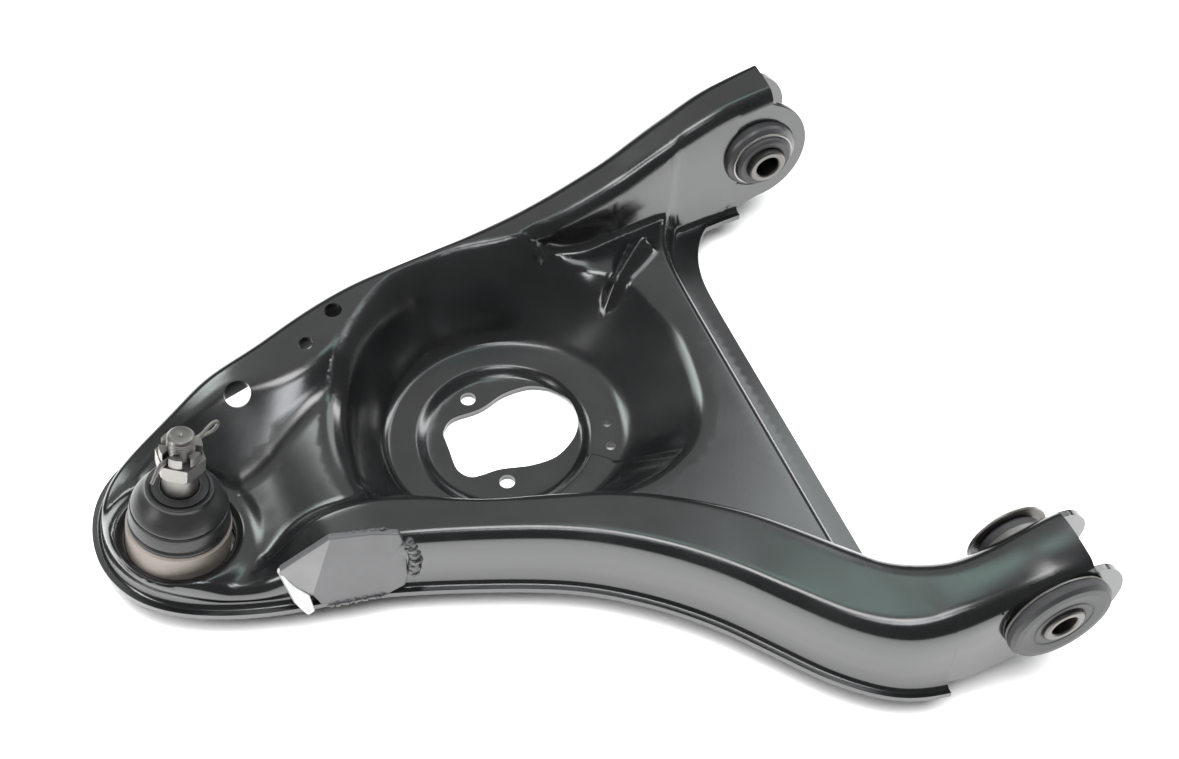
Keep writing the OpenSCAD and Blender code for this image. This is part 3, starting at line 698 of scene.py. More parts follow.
# -------- pressed shell
def wall_rows(curve, side, shape, high, low):
    """Plan rows along a wall: dictionary of offsets from the curve."""
    x = curve.p[:, 0]
    t0, t1, b0, b1, *_ = wall_parts(np.maximum(high - low, 1.0), *shape(x))
    rows = {"b0": b0, "b1": b1, "t0": t0, "t1": t1, "bm": (b0 + b1) / 2}
    for f in (0.15, 0.32, 0.5, 0.68, 0.85):
        rows["t%d" % round(f * 100)] = t0 + f * (t1 - t0)
    for f in (0.33, 0.67):
        rows["w%d" % round(f * 100)] = b1 + f * (t0 - b1)
    return rows, side * curve.right


rim_rows, rim_n = wall_rows(RIM_C, 1, rim_shape, raised(RIM_C.p + 9 * RIM_C.right), FLANGE_Z)
rear_rows, rear_n = wall_rows(REAR_C, -1, rear_shape, np.interp(REAR_C.p[:, 0], *REAR_LEVEL),
                              base_level(REAR_C.p + 6 * REAR_C.right))
front_rows, front_n = wall_rows(FRONT_C, 1, front_shape, np.interp(FRONT_C.p[:, 0], *FRONT_LEVEL),
                                base_level(FRONT_C.p - 6 * FRONT_C.right))
edge_rows, edge_n = wall_rows(EDGE_C, -1, edge_shape, WEB_Z, FLANGE_Z)
OPENING_EDGE = resample(catmull(OPENING, True, 6), 2.2, True)


class Plan:
    """Collects plan points and constraint lines."""

    def __init__(self):
        self.p, self.e = [], []
        self.n = 0

    def line(self, pts, closed=False, tie=True):
        pts = np.asarray(pts, float)
        k = len(pts)
        self.p.append(pts)
        if tie:
            self.e += [(self.n + i, self.n + i + 1) for i in range(k - 1)]
            if closed:
                self.e.append((self.n + k - 1, self.n))
        self.n += k

    def wall(self, curve, rows, n):
        """Rows of a wall; only the straight part's ends are constraint lines."""
        for key, off in rows.items():
            self.line(curve.p + off[:, None] * n, tie=key in ("t0", "b1"))


def plan_pocket(plan):
    a = np.linspace(-math.pi, math.pi, 201)[:-1]
    start = roll_start(a)
    for t in (0, 0.06, 0.13, 0.2, 0.28, 0.36, 0.45, 0.55, 0.65, 0.73, 0.8, 0.86, 0.92, 0.96, 1.0):
        plan.line(SEAT + toward(a) * (start + t * (SEAT_R - start))[:, None], True, tie=False)
    for r in (61, 58.5, 56, 53.5, 51.2, SEAT_IN + 0.8, SEAT_IN - 0.4, 48, 46.6, 45.2, 43.6, 42.2):
        plan.line(SEAT + toward(a) * r, True, tie=False)
    for w in (RAMP_STOP - 0.012, RAMP_STOP + 0.012):
        plan.line([SEAT + r * np.array([math.cos(w), math.sin(w)]) for r in np.linspace(SEAT_IN, SEAT_R, 8)])


def plan_ball_seat_and_dart(plan):
    for r in (44, 42.5, 41, 39.5, 38, 36.5, 35, 33.8, 32.6, 31.7, 30.8, 30, 29.2, 28.5, 27.8, 27.5, 27.15,
              HOUSING_HOLE_R):
        plan.line(circle(BJ[0], BJ[1], r, 120), True, tie=r < 28)
    side = (0.9, 1.8, 3, 4.5, 6.5, 8.5, 10.5, 12.5, 15, 17.5, 20)
    for u in np.arange(-6, 58, 2.0):
        for v in (*(-s for s in reversed(side)), 0, *side):
            plan.line([DART0 + u * DART_DIR + v * DART_ACROSS], tie=False)


def shell_plan():
    """All plan points of the shell and the lines between them."""
    plan = Plan()
    for off in (-FLANGE_W, -FLANGE_W + 0.8, -3.4):
        plan.line(RIM_C.p + off * rim_n, tie=off == -FLANGE_W)
    plan.wall(RIM_C, rim_rows, rim_n)
    for more in (2.0, 5.0):
        plan.line(RIM_C.p + (rim_rows["t1"] + more)[:, None] * rim_n, tie=False)
    rim_count = plan.n
    for curve, rows, n in ((REAR_C, rear_rows, rear_n), (FRONT_C, front_rows, front_n)):
        plan.wall(curve, rows, n)
        plan.line(curve.p + (rows["t1"] + 2.5)[:, None] * n, tie=False)
        plan.line(curve.p + (rows["b0"] - FRONT_FOOT)[:, None] * n, tie=curve is FRONT_C)
    plan.wall(EDGE_C, edge_rows, edge_n)
    beyond = edge_rows["b1"] + 1.2 * np.sign(edge_rows["b1"] - edge_rows["t0"])
    plan.line(EDGE_C.p + beyond[:, None] * edge_n, tie=False)
    plan.line(LIP_C.p)
    plan.line(LIP_C.p - 1.0 * LIP_C.right, tie=False)
    plan_pocket(plan)
    plan_ball_seat_and_dart(plan)
    for x, y, r in HOLES:
        for k in (r, r + 0.9, r + 2.2):
            plan.line(circle(x, y, k, 40 if r > 6 else 28), True, tie=k == r)
    plan.line(OPENING_EDGE, True)
    # the legs' ends and the lines where the flat bushing walls take over
    for x, y0, y1 in (
            (REAR_END, -34, 34), (FRONT_END, 300, 366), (REAR_CUT, -30, -8), (REAR_EDGE_X, -30, -12),
            (REAR_INNER_CUT, 10, 32), (FRONT_OUTER_CUT, 340, 364), (FRONT_CUT, 304, 328)):
        plan.line([(x, y) for y in np.arange(y0, y1 + 0.1, 1.5)])
    # points of no line make way for the rim's
    pts = np.vstack(plan.p)
    tied = np.zeros(len(pts), bool)
    tied[np.unique(np.array(plan.e).ravel())] = True
    tied[:rim_count] = True
    loose = ~tied & (RIM_C.dist(pts) < rim_rows["t1"][RIM_C.nearest(pts)] + 1.4)
    number = np.cumsum(~loose) - 1
    return pts[~loose], [(int(number[i]), int(number[j])) for i, j in plan.e]


def filled(pts, step=4.2):
    """The points with a grid added wherever it stays clear of them."""
    tree = KDTree(len(pts))
    for i, q in enumerate(pts):
        tree.insert((q[0], q[1], 0), i)
    tree.balance()
    fill = []
    for j, y in enumerate(np.arange(-40, 375, step * 0.87)):
        for x in np.arange(-440 + (j % 2) * step / 2, 30, step):
            if tree.find((x, y, 0))[2] > 0.62 * step:
                fill.append((x, y))
    return np.vstack([pts, fill])


def triangles(pts, edges, tolerance):
    res = delaunay_2d_cdt([Vector((float(x), float(y))) for x, y in pts], edges, [], 0, tolerance)
    v = np.array([(p[0], p[1]) for p in res[0]])
    return v, np.array([f for f in res[2] if len(f) == 3])


def on_sheet(c):
    """Which plan points lie on the sheet."""
    dr, da, df = RIM_C.dist(c), -REAR_C.dist(c), FRONT_C.dist(c)
    ir, ia, i_f = RIM_C.nearest(c), REAR_C.nearest(c), FRONT_C.nearest(c)
    x, y = c[:, 0], c[:, 1]
    keep = dr > -FLANGE_W
    keep &= (LIP_C.dist(c) < 0) | (da > rear_rows["b1"][ia]) | (df > front_rows["b0"][i_f] - FRONT_FOOT)
    keep &= np.where(y < 190, x < REAR_END, x < FRONT_END)
    rear = y < 100
    keep &= ~(rear & (x > REAR_EDGE_X) & (dr < rim_rows["b1"][ir]))
    keep &= ~(rear & (x > REAR_CUT) & (dr < rim_rows["t0"][ir]))
    keep &= ~(rear & (x > REAR_INNER_CUT) & (da < rear_rows["t0"][ia]))
    keep &= ~(~rear & (x > FRONT_OUTER_CUT) & (dr < rim_rows["t0"][ir]))
    keep &= ~(~rear & (x > FRONT_CUT) & (df < front_rows["t0"][i_f]))
    for hx, hy, r in HOLES:
        keep &= np.hypot(x - hx, y - hy) > r * 0.995
    keep &= np.hypot(x - BJ[0], y - BJ[1]) > HOUSING_HOLE_R * 0.9995
    return keep & ~in_polygon(c, OPENING_EDGE)


def foot_of_wall(x):
    """Level of the rear walls' lower edge, which climbs towards the bushing."""
    return FLANGE_Z + (x - REAR_EDGE_X) * END_SLOPE


def build_shell():
    pts, lines = shell_plan()
    v2, tri = triangles(filled(pts), lines, 0.04)
    tri = tri[on_sheet(v2[tri].mean(1))]
    used, tri = np.unique(tri, return_inverse=True)
    tri = tri.reshape(-1, 3)
    v2 = v2[used]
    z = shell_z(v2)
    outer = RIM_C.dist(v2) < rim_rows["t0"][RIM_C.nearest(v2)]
    inner = -REAR_C.dist(v2) < rear_rows["t0"][REAR_C.nearest(v2)]
    low_wall = (v2[:, 1] < 60) & (v2[:, 0] > REAR_EDGE_X - 0.01) & (outer | inner)
    z = np.where(low_wall, np.maximum(z, foot_of_wall(v2[:, 0])), z)
    # the front leg's inner wall runs out softly into the pocket
    pair = np.unique(np.sort(np.vstack([tri[:, :2], tri[:, 1:], tri[:, ::2]]), axis=1), axis=0)
    a, b = pair.T
    soft = smooth01(1.6 - np.hypot(*(v2 - RUN_OUT).T) / RUN_OUT_R)
    count = np.bincount(pair.ravel(), minlength=len(v2))
    for _ in range(RUN_OUT_PASSES):
        total = np.bincount(a, z[b], len(v2)) + np.bincount(b, z[a], len(v2))
        z = z + soft * (total / count - z)
    # the lower face lies one sheet's thickness along the normals
    v = np.column_stack([v2, z])
    a, b, c = v[tri[:, 0]], v[tri[:, 1]], v[tri[:, 2]]
    fn = np.cross(b - a, c - a)
    flip = fn[:, 2] < 0
    tri[flip] = tri[flip][:, ::-1]
    fn[flip] *= -1
    vn = np.zeros_like(v)
    for k in range(3):
        np.add.at(vn, tri[:, k], fn)
    vn /= np.linalg.norm(vn, axis=1)[:, None] + 1e-12
    o, pairs = plate("arm_shell", v, v - SHEET * vn, tri)
    for e in o.data.edges:
        e.use_edge_sharp = tuple(sorted(e.vertices)) in pairs
    return o


dress(build_shell(), "arm", "black_coat", None, *[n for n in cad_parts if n.startswith("arm_")])


# -------- flat walls round the bushings
def fillet_start(kind):
    """Samples (x, y, z, tangent of the draft) of the line where a wall turns into the top."""
    if kind.endswith("out"):
        curve, rows, n, shape = RIM_C, rim_rows, rim_n, rim_shape
    elif kind == "rear_in":
        curve, rows, n, shape = REAR_C, rear_rows, rear_n, rear_shape
    else:
        curve, rows, n, shape = FRONT_C, front_rows, front_n, front_shape
    p = curve.p + rows["t0"][:, None] * n
    part = (p[:, 0] > -62) & ((p[:, 1] < 100) if kind.startswith("rear") else (p[:, 1] > 250))
    p = p[part]
    z = shell_z(p + 0.01 * n[part])
    x = curve.p[part, 0]
    order = np.argsort(p[:, 0])
    return p[order, 0], p[order, 1], z[order], np.tan(shape(x)[2])[order]


STARTS = {k: fillet_start(k) for k in ("rear_out", "rear_in", "front_out", "front_in")}


def fillet_level(x, kind):
    """(level, y, tangent of the draft) of that line over x."""
    s = STARTS[kind]
    return tuple(np.interp(x, s[0], s[k]) for k in (2, 1, 3))


def bushing_wall(name, kind, inward, outline, bore_r, end_x):
    """Flat wall with its ear and bore: outline of (x, z) in mm; inward is +1 or -1 along Y."""
    poly = resample(np.array(outline, float), 1.6, True)
    hole = circle(0, 0, bore_r, 72)
    n0, n1 = len(poly), len(hole)
    edges = [(i, (i + 1) % n0) for i in range(n0)] + [(n0 + i, n0 + (i + 1) % n1) for i in range(n1)]
    v, tri = triangles(np.vstack([poly, hole]), edges, 0.001)
    c = v[tri].mean(1)
    tri = tri[in_polygon(c, poly) & (np.hypot(c[:, 0], c[:, 1]) > bore_r * 0.998)]
    zf, yf, tan = fillet_level(v[:, 0], kind)
    front = np.column_stack([v[:, 0], yf + inward * (v[:, 1] - zf) * tan, v[:, 1]])
    o, pairs = plate(name, front, front + np.array([0, inward * SHEET, 0]), tri)
    outward(o)
    # rounded sheared edges, but none where the wall runs on into the pressed shell
    me = o.data
    weight = me.attributes.new("bevel_weight_edge", "FLOAT", "EDGE")
    seam_x = min(p[0] for p in outline)
    values = np.zeros(len(me.edges), np.float32)
    for i, e in enumerate(me.edges):
        if tuple(sorted(e.vertices)) in pairs:
            pa, pb = (me.vertices[k].co / MM for k in e.vertices)
            on_seam = abs(pa[0] - seam_x) < 0.05 and abs(pb[0] - seam_x) < 0.05
            xm, zm = (pa[0] + pb[0]) / 2, (pa[2] + pb[2]) / 2
            on_top = xm < end_x - 0.05 and zm > fillet_level(xm, kind)[0] - 1.0
            e.use_edge_sharp = bool(on_seam or on_top)
            values[i] = not e.use_edge_sharp
    weight.data.foreach_set("value", values)
    bevel(o, 0.7)
    return o


def arc(cx, cz, r, a0, a1, n=48):
    a = np.radians(np.linspace(a0, a1, n))
    return [(cx + r * math.cos(t), cz + r * math.sin(t)) for t in a]


def top_line(kind, x0, x1):
    x = np.linspace(x0, x1, 14)
    return list(zip(x, fillet_level(x, kind)[0]))


# kind, way inward, foot of the outline, ear as an arc, end of the top, bore
FRONT_EAR = (-3.4, 1.0, 34.0)
REAR_REST = (14.0, -1.0, 25.0, -78, 62), (REAR_END, 22.5), REAR_SHELL_R
FRONT_REST = (FRONT_END, 34), FRONT_SHELL_R
BUSHING_WALLS = (
    ("rear_out", 1, [(REAR_CUT, foot_of_wall(REAR_CUT))], *REAR_REST),
    ("rear_in", -1, [(REAR_INNER_CUT, foot_of_wall(REAR_INNER_CUT))], *REAR_REST),
    ("front_out", -1, [(FRONT_OUTER_CUT, -38.0), (-14, -36)], (*FRONT_EAR, -78, 66), *FRONT_REST),
    ("front_in", 1, [(FRONT_CUT, -37.5)], (*FRONT_EAR, -84, 66), *FRONT_REST),
)
for kind, inward, foot, ear, end, bore_r in BUSHING_WALLS:
    outline = foot + arc(*ear) + [end] + top_line(kind, end[0], foot[0][0])
    name = kind.replace("_", "_wall_")
    dress(bushing_wall(name, kind, inward, outline, bore_r, end[0]), "arm", "black_coat")

# -------- steering stop and its weld
STOP_T = 4.2
STOP_MAIN = [
    (-318.0, 151.2, 7.6), (-298.2, 147.5, 5.7), (-284.6, 144.3, 2.4), (-282.9, 143.0, -3.0),
    (-282.4, 141.4, -11.0), (-283.6, 138.3, -28.5), (-286.0, 137.3, -35.0), (-294.5, 137.6, -38.2),
    (-328.5, 143.3, -38.4), (-332.5, 146.1, -29.8),
]
STOP_LEFT = [
    (-332.5, 146.1, -29.8), (-339.5, 148.4, -21.7), (-346.2, 151.2, -9.6), (-345.5, 151.8, -7.0),
    (-318.0, 151.2, 7.6),
]
STOP_TAB = [
    (-346.8, 151.4, -9.4), (-345.6, 151.8, -7.0), (-341.0, 148.8, -20.6), (-334.6, 146.6, -30.2),
    (-334.2, 140.5, -37.2), (-338.2, 139.6, -37.6), (-342.6, 143.6, -29.5),
]


def sheet_piece(name, polys, thick):
    """Bent plate: outlines in space that share edges, thickened outward."""
    verts, faces, index = [], [], {}
    for poly in polys:
        ids = []
        for p in poly:
            key = tuple(round(c, 2) for c in p)
            if key not in index:
                index[key] = len(verts)
                verts.append(p)
            ids.append(index[key])
        faces.append(ids)
    v = np.array(verts, float)
    vn = np.zeros_like(v)
    fixed = []
    for f in faces:
        q = v[f]
        n = np.zeros(3)
        for a, b in zip(q, np.roll(q, -1, 0)):
            n += np.cross(a - q[0], b - q[0])
        n /= np.linalg.norm(n)
        if n[1] > 0:
            f, n = f[::-1], -n
        fixed.append(f)
        for i in f:
            vn[i] += n
    vn /= np.linalg.norm(vn, axis=1)[:, None]
    return outward(plate(name, v + vn * thick * 0.55, v - vn * thick * 0.45, fixed)[0])


stop = sheet_piece("stop_plate", [STOP_MAIN, STOP_LEFT], STOP_T)
bevel(stop, 0.8, 25)
dress(stop, "arm", "stop_steel", None, "steering_stop")
# the plate's left facet gets a lighter copy of its steel: a painted highlight where the light falls on that
# facet
stop.data.materials.append(MATS["stop_facet_painted_highlight"])
stop.data.polygons[1].material_index = 1
# the bent tab is painted light grey: a painted highlight on its lit edge
tab = sheet_piece("stop_tab", [STOP_TAB], STOP_T * 0.9)
bevel(tab, 0.8, 25)
dress(tab, "arm", "stop_steel", "stop_tab_painted_highlight")


def bead(name, path, r, step=0.8):
    """Weld bead with ripples."""
    p = np.array(path, float)
    s = lengths(p)
    p = evenly(p, s, max(int(s[-1] / step), 3))
    s = np.arange(len(p)) * step
    w = r * (1 + 0.16 * np.sin(s * 1.35) + 0.12 * np.sin(s * 3.1 + 1) + 0.07 * np.sin(s * 5.7 + 2))
    p = p + np.column_stack([0.5 * np.sin(s * 1.9), 0.25 * np.sin(s * 2.7 + 2), 0 * s])
    w[:3] *= (0.35, 0.7, 0.9)
    w[-3:] *= (0.9, 0.7, 0.35)
    return tube(name, p, w)


WELD_RIGHT = [
    (-281.4, 140.9, -2), (-279.6, 138.9, -8), (-279.0, 137.5, -15), (-280.0, 136.6, -21),
    (-282.0, 135.9, -27),
]
WELD_TOP = [(-312, 150.8, 5.4), (-300, 148.8, 4.4), (-289, 146.8, 3.0)]
WELD_FOOT = [(-327, 141.4, -38.2), (-310, 138.6, -38.2), (-295, 136.4, -38.2)]
dress(bead("weld_right", WELD_RIGHT, 3.2), "arm", "weld_steel", None, "stop_weld")
dress(bead("weld_top", WELD_TOP, 1.6), "arm", "weld_steel")
dress(bead("weld_foot", WELD_FOOT, 1.7), "arm", "weld_steel")

# -------- ball joint
BALL_X = (math.cos(LEAN_IN), 0.0, -math.sin(LEAN_IN))
BALL_Z = (math.cos(LEAN_FWD) * math.sin(LEAN_IN), math.sin(LEAN_FWD), math.cos(LEAN_FWD) * math.cos(LEAN_IN))
BALL = axes(BALL_X, BALL_Z, BJ)


def on_ball(p):
    return place(np.atleast_2d(np.array(p, float)), BALL)


ring = turned("joint_housing", BALL, 0.5, [
    (26.95, -27), (26.95, -3.2), (27.0, -3), (27.0, 8.3), (25.9, 9.5), (21.5, 9.5), (21.5, 13),
    (17, 13), (17, 5), (22, 5), (22, -26.5), (24.5, -26.5), (24.5, -27)], 128)
dress(ring, "arm", "plated_steel", "ring_steel", "ball_housing")

BOOT = [
    (23.1, 9.62), (25.2, 9.62), (26.0, 10.3), (26.25, 11.2), (26.0, 12.1), (25.2, 12.6), (25.15, 13.1),
    (25.7, 13.6), (25.8, 14.4), (25.6, 17), (25.3, 19.6), (24.8, 22), (23.9, 24.6), (22.6, 27.2),
    (20.9, 29.8), (19.0, 32.0), (17.9, 33.2), (17.35, 34.1), (17.5, 34.9), (17.45, 35.6), (16.9, 36.1),
    (16.0, 36.1), (15.4, 35.6), (14.6, 35.3), (14.4, 34.9), (14.4, 33.6), (16.2, 32.4), (19.6, 28.8),
    (21.4, 25), (22.8, 21.4), (23.5, 17), (23.4, 13.9), (23.1, 13.2),
]


def split_section(section, h):
    """The parts of a thin closed section below and above a height."""
    low, high = [], []
    for a, b in zip(section, section[1:] + section[:1]):
        (low if a[1] <= h else high).append(a)
        if (a[1] - h) * (b[1] - h) < 0:
            t = (h - a[1]) / (b[1] - a[1])
            m = (a[0] + t * (b[0] - a[0]), h)
            low.append(m)
            high.append(m)
    return low, high


def dense(section, step=0.9):
    out = []
    for a, b in zip(section, section[1:] + section[:1]):
        n = max(int(math.hypot(b[0] - a[0], b[1] - a[1]) / step), 1)
        out += [(a[0] + (b[0] - a[0]) * i / n, a[1] + (b[1] - a[1]) * i / n) for i in range(n)]
    return out


MID_H = 22.0
lower, upper = split_section(dense(BOOT), MID_H)
boot_low = lathe("boot_lower", lower, BALL, weighted=False)
boot_high = lathe("boot_upper", upper, BALL, weighted=False)
dress(boot_low, None, "boot_rubber", None, "boot")
dress(boot_high, None, "boot_rubber")
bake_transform(boot_low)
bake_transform(boot_high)

lip = turned("boot_lip", BALL, 0.35, [
    (9.65, 33.5), (14.2, 33.5), (14.3, 35.5), (14.5, 36.3), (11.2, 36.6), (10.6, 36.3), (9.8, 36.6)])
dress(lip, "boot_lip", "boot_rubber", None, "boot_lip_ring")


def threaded(name, r, h0, h1, pitch, depth, at, seg=64):
    """Threaded end with chamfer and centre mark."""
    verts, faces = [], []
    for h in np.arange(h0, h1 - 1.7, pitch / 8):
        fade = min((h - h0) / 1.5, 1)
        for j in range(seg):
            groove = 1 - min(abs(2 * ((h / pitch - j / seg) % 1) - 1) * 1.25, 1)
            rr = r - depth * fade * groove
            a = TURN * j / seg
            verts.append((rr * math.cos(a), rr * math.sin(a), h))
    chamfer = ((r - 0.15, h1 - 1.6), (r - 1.0, h1 - 0.6), (r - 1.7, h1))
    for rr, h in (*chamfer, (1.6, h1), (1.1, h1 - 0.3), (0.3, h1 - 0.9)):
        verts += ring_points(rr, h, seg)
    rows = len(verts) // seg
    verts += [(0, 0, h1 - 1.0), (0, 0, h0)]
    top, low = len(verts) - 2, len(verts) - 1
    around_axis = [(j, (j + 1) % seg) for j in range(seg)]
    for i in range(0, (rows - 1) * seg, seg):
        faces += [(i + j, i + k, i + seg + k, i + seg + j) for j, k in around_axis]
    for j, k in around_axis:
        faces += [((rows - 1) * seg + j, (rows - 1) * seg + k, top), (k, j, low)]
    o = outward(make(name, place(np.array(verts), at), faces))
    weigh_normals(o, 50)
    return o


shank = turned("stud_shank", BALL, 0.4, [
    (0, -8), (7.6, -8), (7.6, 13.5), (9.55, 22), (9.45, 34), (8.2, 50.3), (7.3, 51), (7.3, 52), (0, 52)])
dress(shank, "stud", "bright_steel", None, "ball_stud")
ball_profile = [(14 * math.cos(a), -8 + 14 * math.sin(a)) for a in np.linspace(-math.pi / 2, math.pi / 2, 33)]
ball_profile[0], ball_profile[-1] = (0, -22), (0, 6)
ball = lathe("stud_ball", ball_profile, BALL, 64, False)
dress(ball, "stud", "bright_steel")
stud_thread = threaded("stud_thread", 7.12, 51.5, 74.4, 1.35, 0.55, BALL)
dress(stud_thread, "stud", "bright_steel", "nut_steel")

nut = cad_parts["castle_nut"]
bevel(nut, 0.45, 30)
paint(nut, "nut_steel")

# split pin: its points lie along it, across it and up from its hole
PIN_H, PIN_R, PIN_TURN = 62.4, 0.95, rad(29.6)
pin_x = np.array([math.cos(PIN_TURN), math.sin(PIN_TURN), 0])
pin_y = np.array([-math.sin(PIN_TURN), math.cos(PIN_TURN), 0])


def pin_leg(name, rows, step=0.5):
    p = [np.array([0, 0, PIN_H]) + a * pin_x + b * pin_y + np.array([0, 0, c]) for a, b, c in rows]
    out = []
    for i in range(len(p) - 1):
        a, b, c, d = p[max(i - 1, 0)], p[i], p[i + 1], p[min(i + 2, len(p) - 1)]
        k = max(int(np.linalg.norm(c - b) / step), 2)
        out += [spline_point(a, b, c, d, j / k) for j in range(k)]
    return tube(name, on_ball(out + [p[-1]]), PIN_R)


pin_a = pin_leg("pin_leg_upper", [
    (-21.0, -1.5, -6.5), (-18.2, -0.9, -3.4), (-15.2, -0.3, -0.4), (-12.8, 0, 0.9), (-8, 0, 0.95),
    (0, 0, 0.95), (8, 0, 0.95), (12, 0, 0.95), (15.2, 0, 0.95), (17.5, 0, 2.0), (20.5, 0, 3.1),
    (23.5, 0, 3.0), (25.6, 0, 1.4), (25.9, 0, -0.4), (24.4, 0, -2.2), (21.4, 0, -2.6), (18.2, 0, -1.9),
    (15.2, 0, -0.95)])
dress(pin_a, "stud", "plated_steel", "nut_steel", "cotter_pin")
pin_b = pin_leg("pin_leg_lower", [
    (15.3, 0, -0.95), (12, 0, -0.95), (0, 0, -0.95), (-10.5, 0, -0.95), (-13.2, 0.4, -1.9),
    (-14.6, 1.0, -4.6), (-15.2, 1.4, -7.6)])
dress(pin_b, "stud", "plated_steel", "nut_steel")

# cover under the joint and its grease fitting
cover = turned("joint_cover", BALL, 0.5, [
    (3.05, -26.6), (12, -26.6), (21.9, -25.5), (21.9, -27.2), (13, -29), (3.05, -29)])
dress(cover, "arm", "dark_steel", None, "housing_cover")
fitting = turned("grease_nipple", BALL, 0.3, [
    (0, -24.5), (3, -24.5), (3, -29.05), (4.2, -29.05), (4.2, -31.5), (2.2, -32.4), (2.2, -33), (3, -33.6),
    (2.4, -34.6), (0, -34.6)], 48)
dress(fitting, "arm", "plated_steel", None, "grease_fitting")

# -------- bushings
PIVOT, FRONT_PIVOT = (axes((1, 0, 0), (0, 1, 0), (0, y, 0)) for y in (0, FRONT_Y))

for leg, at in (("rear", PIVOT), ("front", FRONT_PIVOT)):
    o = turned(leg + "_inner_sleeve_turned", at, 0.35, [
        (7.9, -30), (10.4, -30), (11.2, -29.2), (11.2, 29.2), (10.4, 30), (7.9, 30), (7.1, 29.2),
        (7.1, -29.2)])
    dress(o, leg + "_sleeve", "bright_steel", "sleeve_steel", leg + "_inner_sleeve")

o = turned("rear_shell_turned", PIVOT, 0.35, [
    (18.4, 21.5), (18.4, -20.02), (27.9, -20.02), (28.0, -21.4), (16.9, -21.5), (16.9, 21.5)])
dress(o, "arm", "dark_steel", "bright_steel", "rear_bushing_shell")
o = turned("rear_rubber_turned", PIVOT, 0.6, [
    (11.3, -27.2), (12.6, -28.0), (15.4, -28.2), (16.4, -27.4), (17.4, -28.1), (23, -28.5), (26.6, -28.1),
    (28.4, -26.2), (28.6, -23.6), (28.1, -21.62), (16.88, -21.62), (16.88, 21.5), (17.2, 25.6), (15.5, 27.4),
    (11.3, 27.6)], 128)
dress(o, "arm", "bushing_rubber", None, "rear_bushing_rubber")
o = turned("rear_washer_turned", PIVOT, 0.35, [
    (11.25, 27.8), (20.4, 27.8), (22, 26.8), (22.6, 28), (21, 29.6), (11.25, 29.6)])
dress(o, "rear_sleeve", "plated_steel", None, "rear_end_washer")
o = turned("front_shell_turned", FRONT_PIVOT, 0.4, [
    (22.4, 18.5), (22.4, -19), (21.6, -20.6), (19.2, -22.2), (18.9, -21.8), (20.9, -19.2), (20.9, 18.5)])
dress(o, "arm", "plated_steel", "shell_black", "front_bushing_shell")
o = turned("front_neck_ring", FRONT_PIVOT, 0.3, [
    (19.1, -22.1), (18.9, -23.0), (17.7, -23.1), (17.55, -22.4), (17.6, -20.6), (18.6, -20.4)])
dress(o, "arm", "plated_steel", "bright_steel")
o = turned("front_rubber_turned", FRONT_PIVOT, 0.5, [
    (11.3, -25.6), (12.4, -26.3), (15.6, -26.3), (17.2, -25.2), (17.5, -23.8), (17.5, -21.5), (20.88, -19),
    (20.88, 18.5), (17, 24), (11.3, 25)])
dress(o, "arm", "bushing_rubber", None, "front_bushing_rubber")

# CAD nodes inside the joint stay as they are, with a finish
for name, mat in (("bearing_cup", "bearing_plastic"), ("bearing_seat", "bearing_plastic"),
                  ("preload_spring", "spring_steel"), ("boot_base_ring", "dark_steel")):
    paint(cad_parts[name], mat)


# -------- floor, light and camera
FLOOR_Z, FLOOR_HALF = CAD_LO[2] / MM - 0.5, 6000


def lamp(name, at, target, width, height, radiance, color=(1, 1, 1)):
    """Rectangular lamp of an even brightness, turned to a point; sizes in metres."""
    d = bpy.data.lights.new(name, "AREA")
    d.shape = "RECTANGLE"
    d.size, d.size_y = width, height
    d.energy = radiance * math.pi * d.size * d.size_y
    d.color = color
    o = added(name, d)
    o.location = at
    o.rotation_euler = (Vector(target) - Vector(at)).to_track_quat("-Z", "Y").to_euler()
    return o


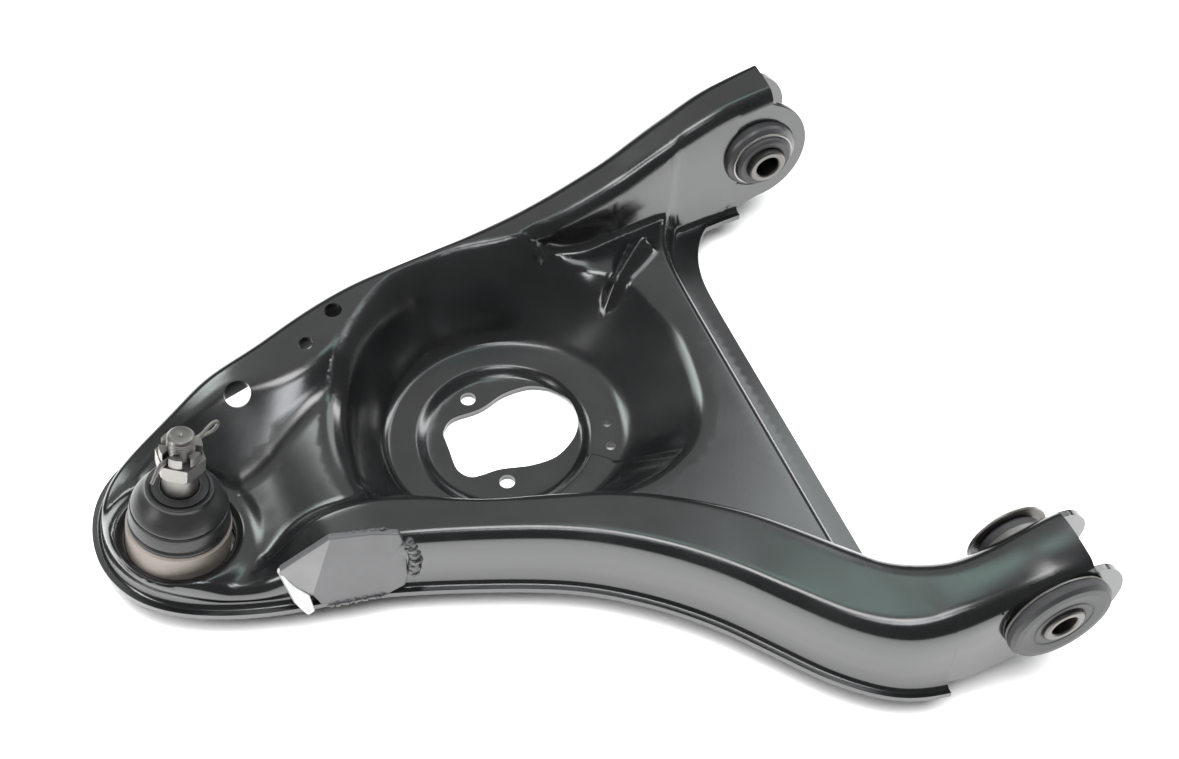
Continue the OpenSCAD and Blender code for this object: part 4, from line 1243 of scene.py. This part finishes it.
corners = ((-1, -1), (1, -1), (1, 1), (-1, 1))
floor = make("floor", [(x * FLOOR_HALF, y * FLOOR_HALF, FLOOR_Z) for x, y in corners], [(0, 1, 2, 3)])
paint(floor, "floor_white")

fill = lamp("fill", (-0.2, 0.1, 2.2), (-0.2, 0.17, 0), 2.4, 2.4, 9.5)
fill.visible_glossy = False
lamp("overhead", (-0.30, 0.30, 1.7), (-0.2, 0.17, 0), 0.42, 0.42, 7.0)
lamp("far_box", (0.60, 0.62, 1.02), (-0.05, 0.05, 0), 0.62, 0.62, 2.1, (0.9, 0.98, 1.0))
lamp("leg_patch", (0.05, 0.54, 1.16), (-0.08, 0.03, 0), 0.26, 0.16, 1.9, (0.62, 1.0, 0.88))
lamp("near_top", (-0.27, -0.09, 1.13), (-0.3, 0.25, 0), 0.30, 0.15, 8.0, (0.93, 0.97, 1.0))
lamp("nose_box", (-0.62, 1.05, 0.75), (-0.3, 0.2, 0), 0.30, 0.34, 5.0, (0.9, 1.0, 0.95))
lamp("far_wall", (0.05, 1.05, 1.25), (-0.15, 0.17, 0), 2.2, 1.2, 0.45)
lamp("left_strip", (-1.5, 0.1, 0.8), (-0.2, 0.17, 0), 0.3, 0.9, 7.0)
lamp("right_strip", (1.3, 0.5, 0.9), (-0.1, 0.17, 0), 0.3, 0.9, 6.0)

world = scene.world or bpy.data.worlds.new("world")
scene.world = world
world.use_nodes = True
bg = next(n for n in world.node_tree.nodes if n.type == "BACKGROUND")
bg.inputs[0].default_value = (1, 1, 1, 1)
bg.inputs[1].default_value = 0.12
scene.view_settings.view_transform = "Standard"

cam_data = bpy.data.cameras.new("camera")
camera = added("camera", cam_data)
right = Vector((0.92217483, -0.38637437, 0.0175623))
up = Vector((0.29625891, 0.73482575, 0.61013258))
turn = Matrix((right, up, right.cross(up))).transposed()
camera.matrix_world = Matrix.Translation((-0.42002780, -0.38996990, 0.83648920)) @ turn.to_4x4()
cam_data.sensor_fit = "HORIZONTAL"
cam_data.sensor_width = 36
cam_data.lens = 60.23
cam_data.dof.use_dof = False
cam_data.clip_start = 0.01
bpy.context.scene.camera = camera
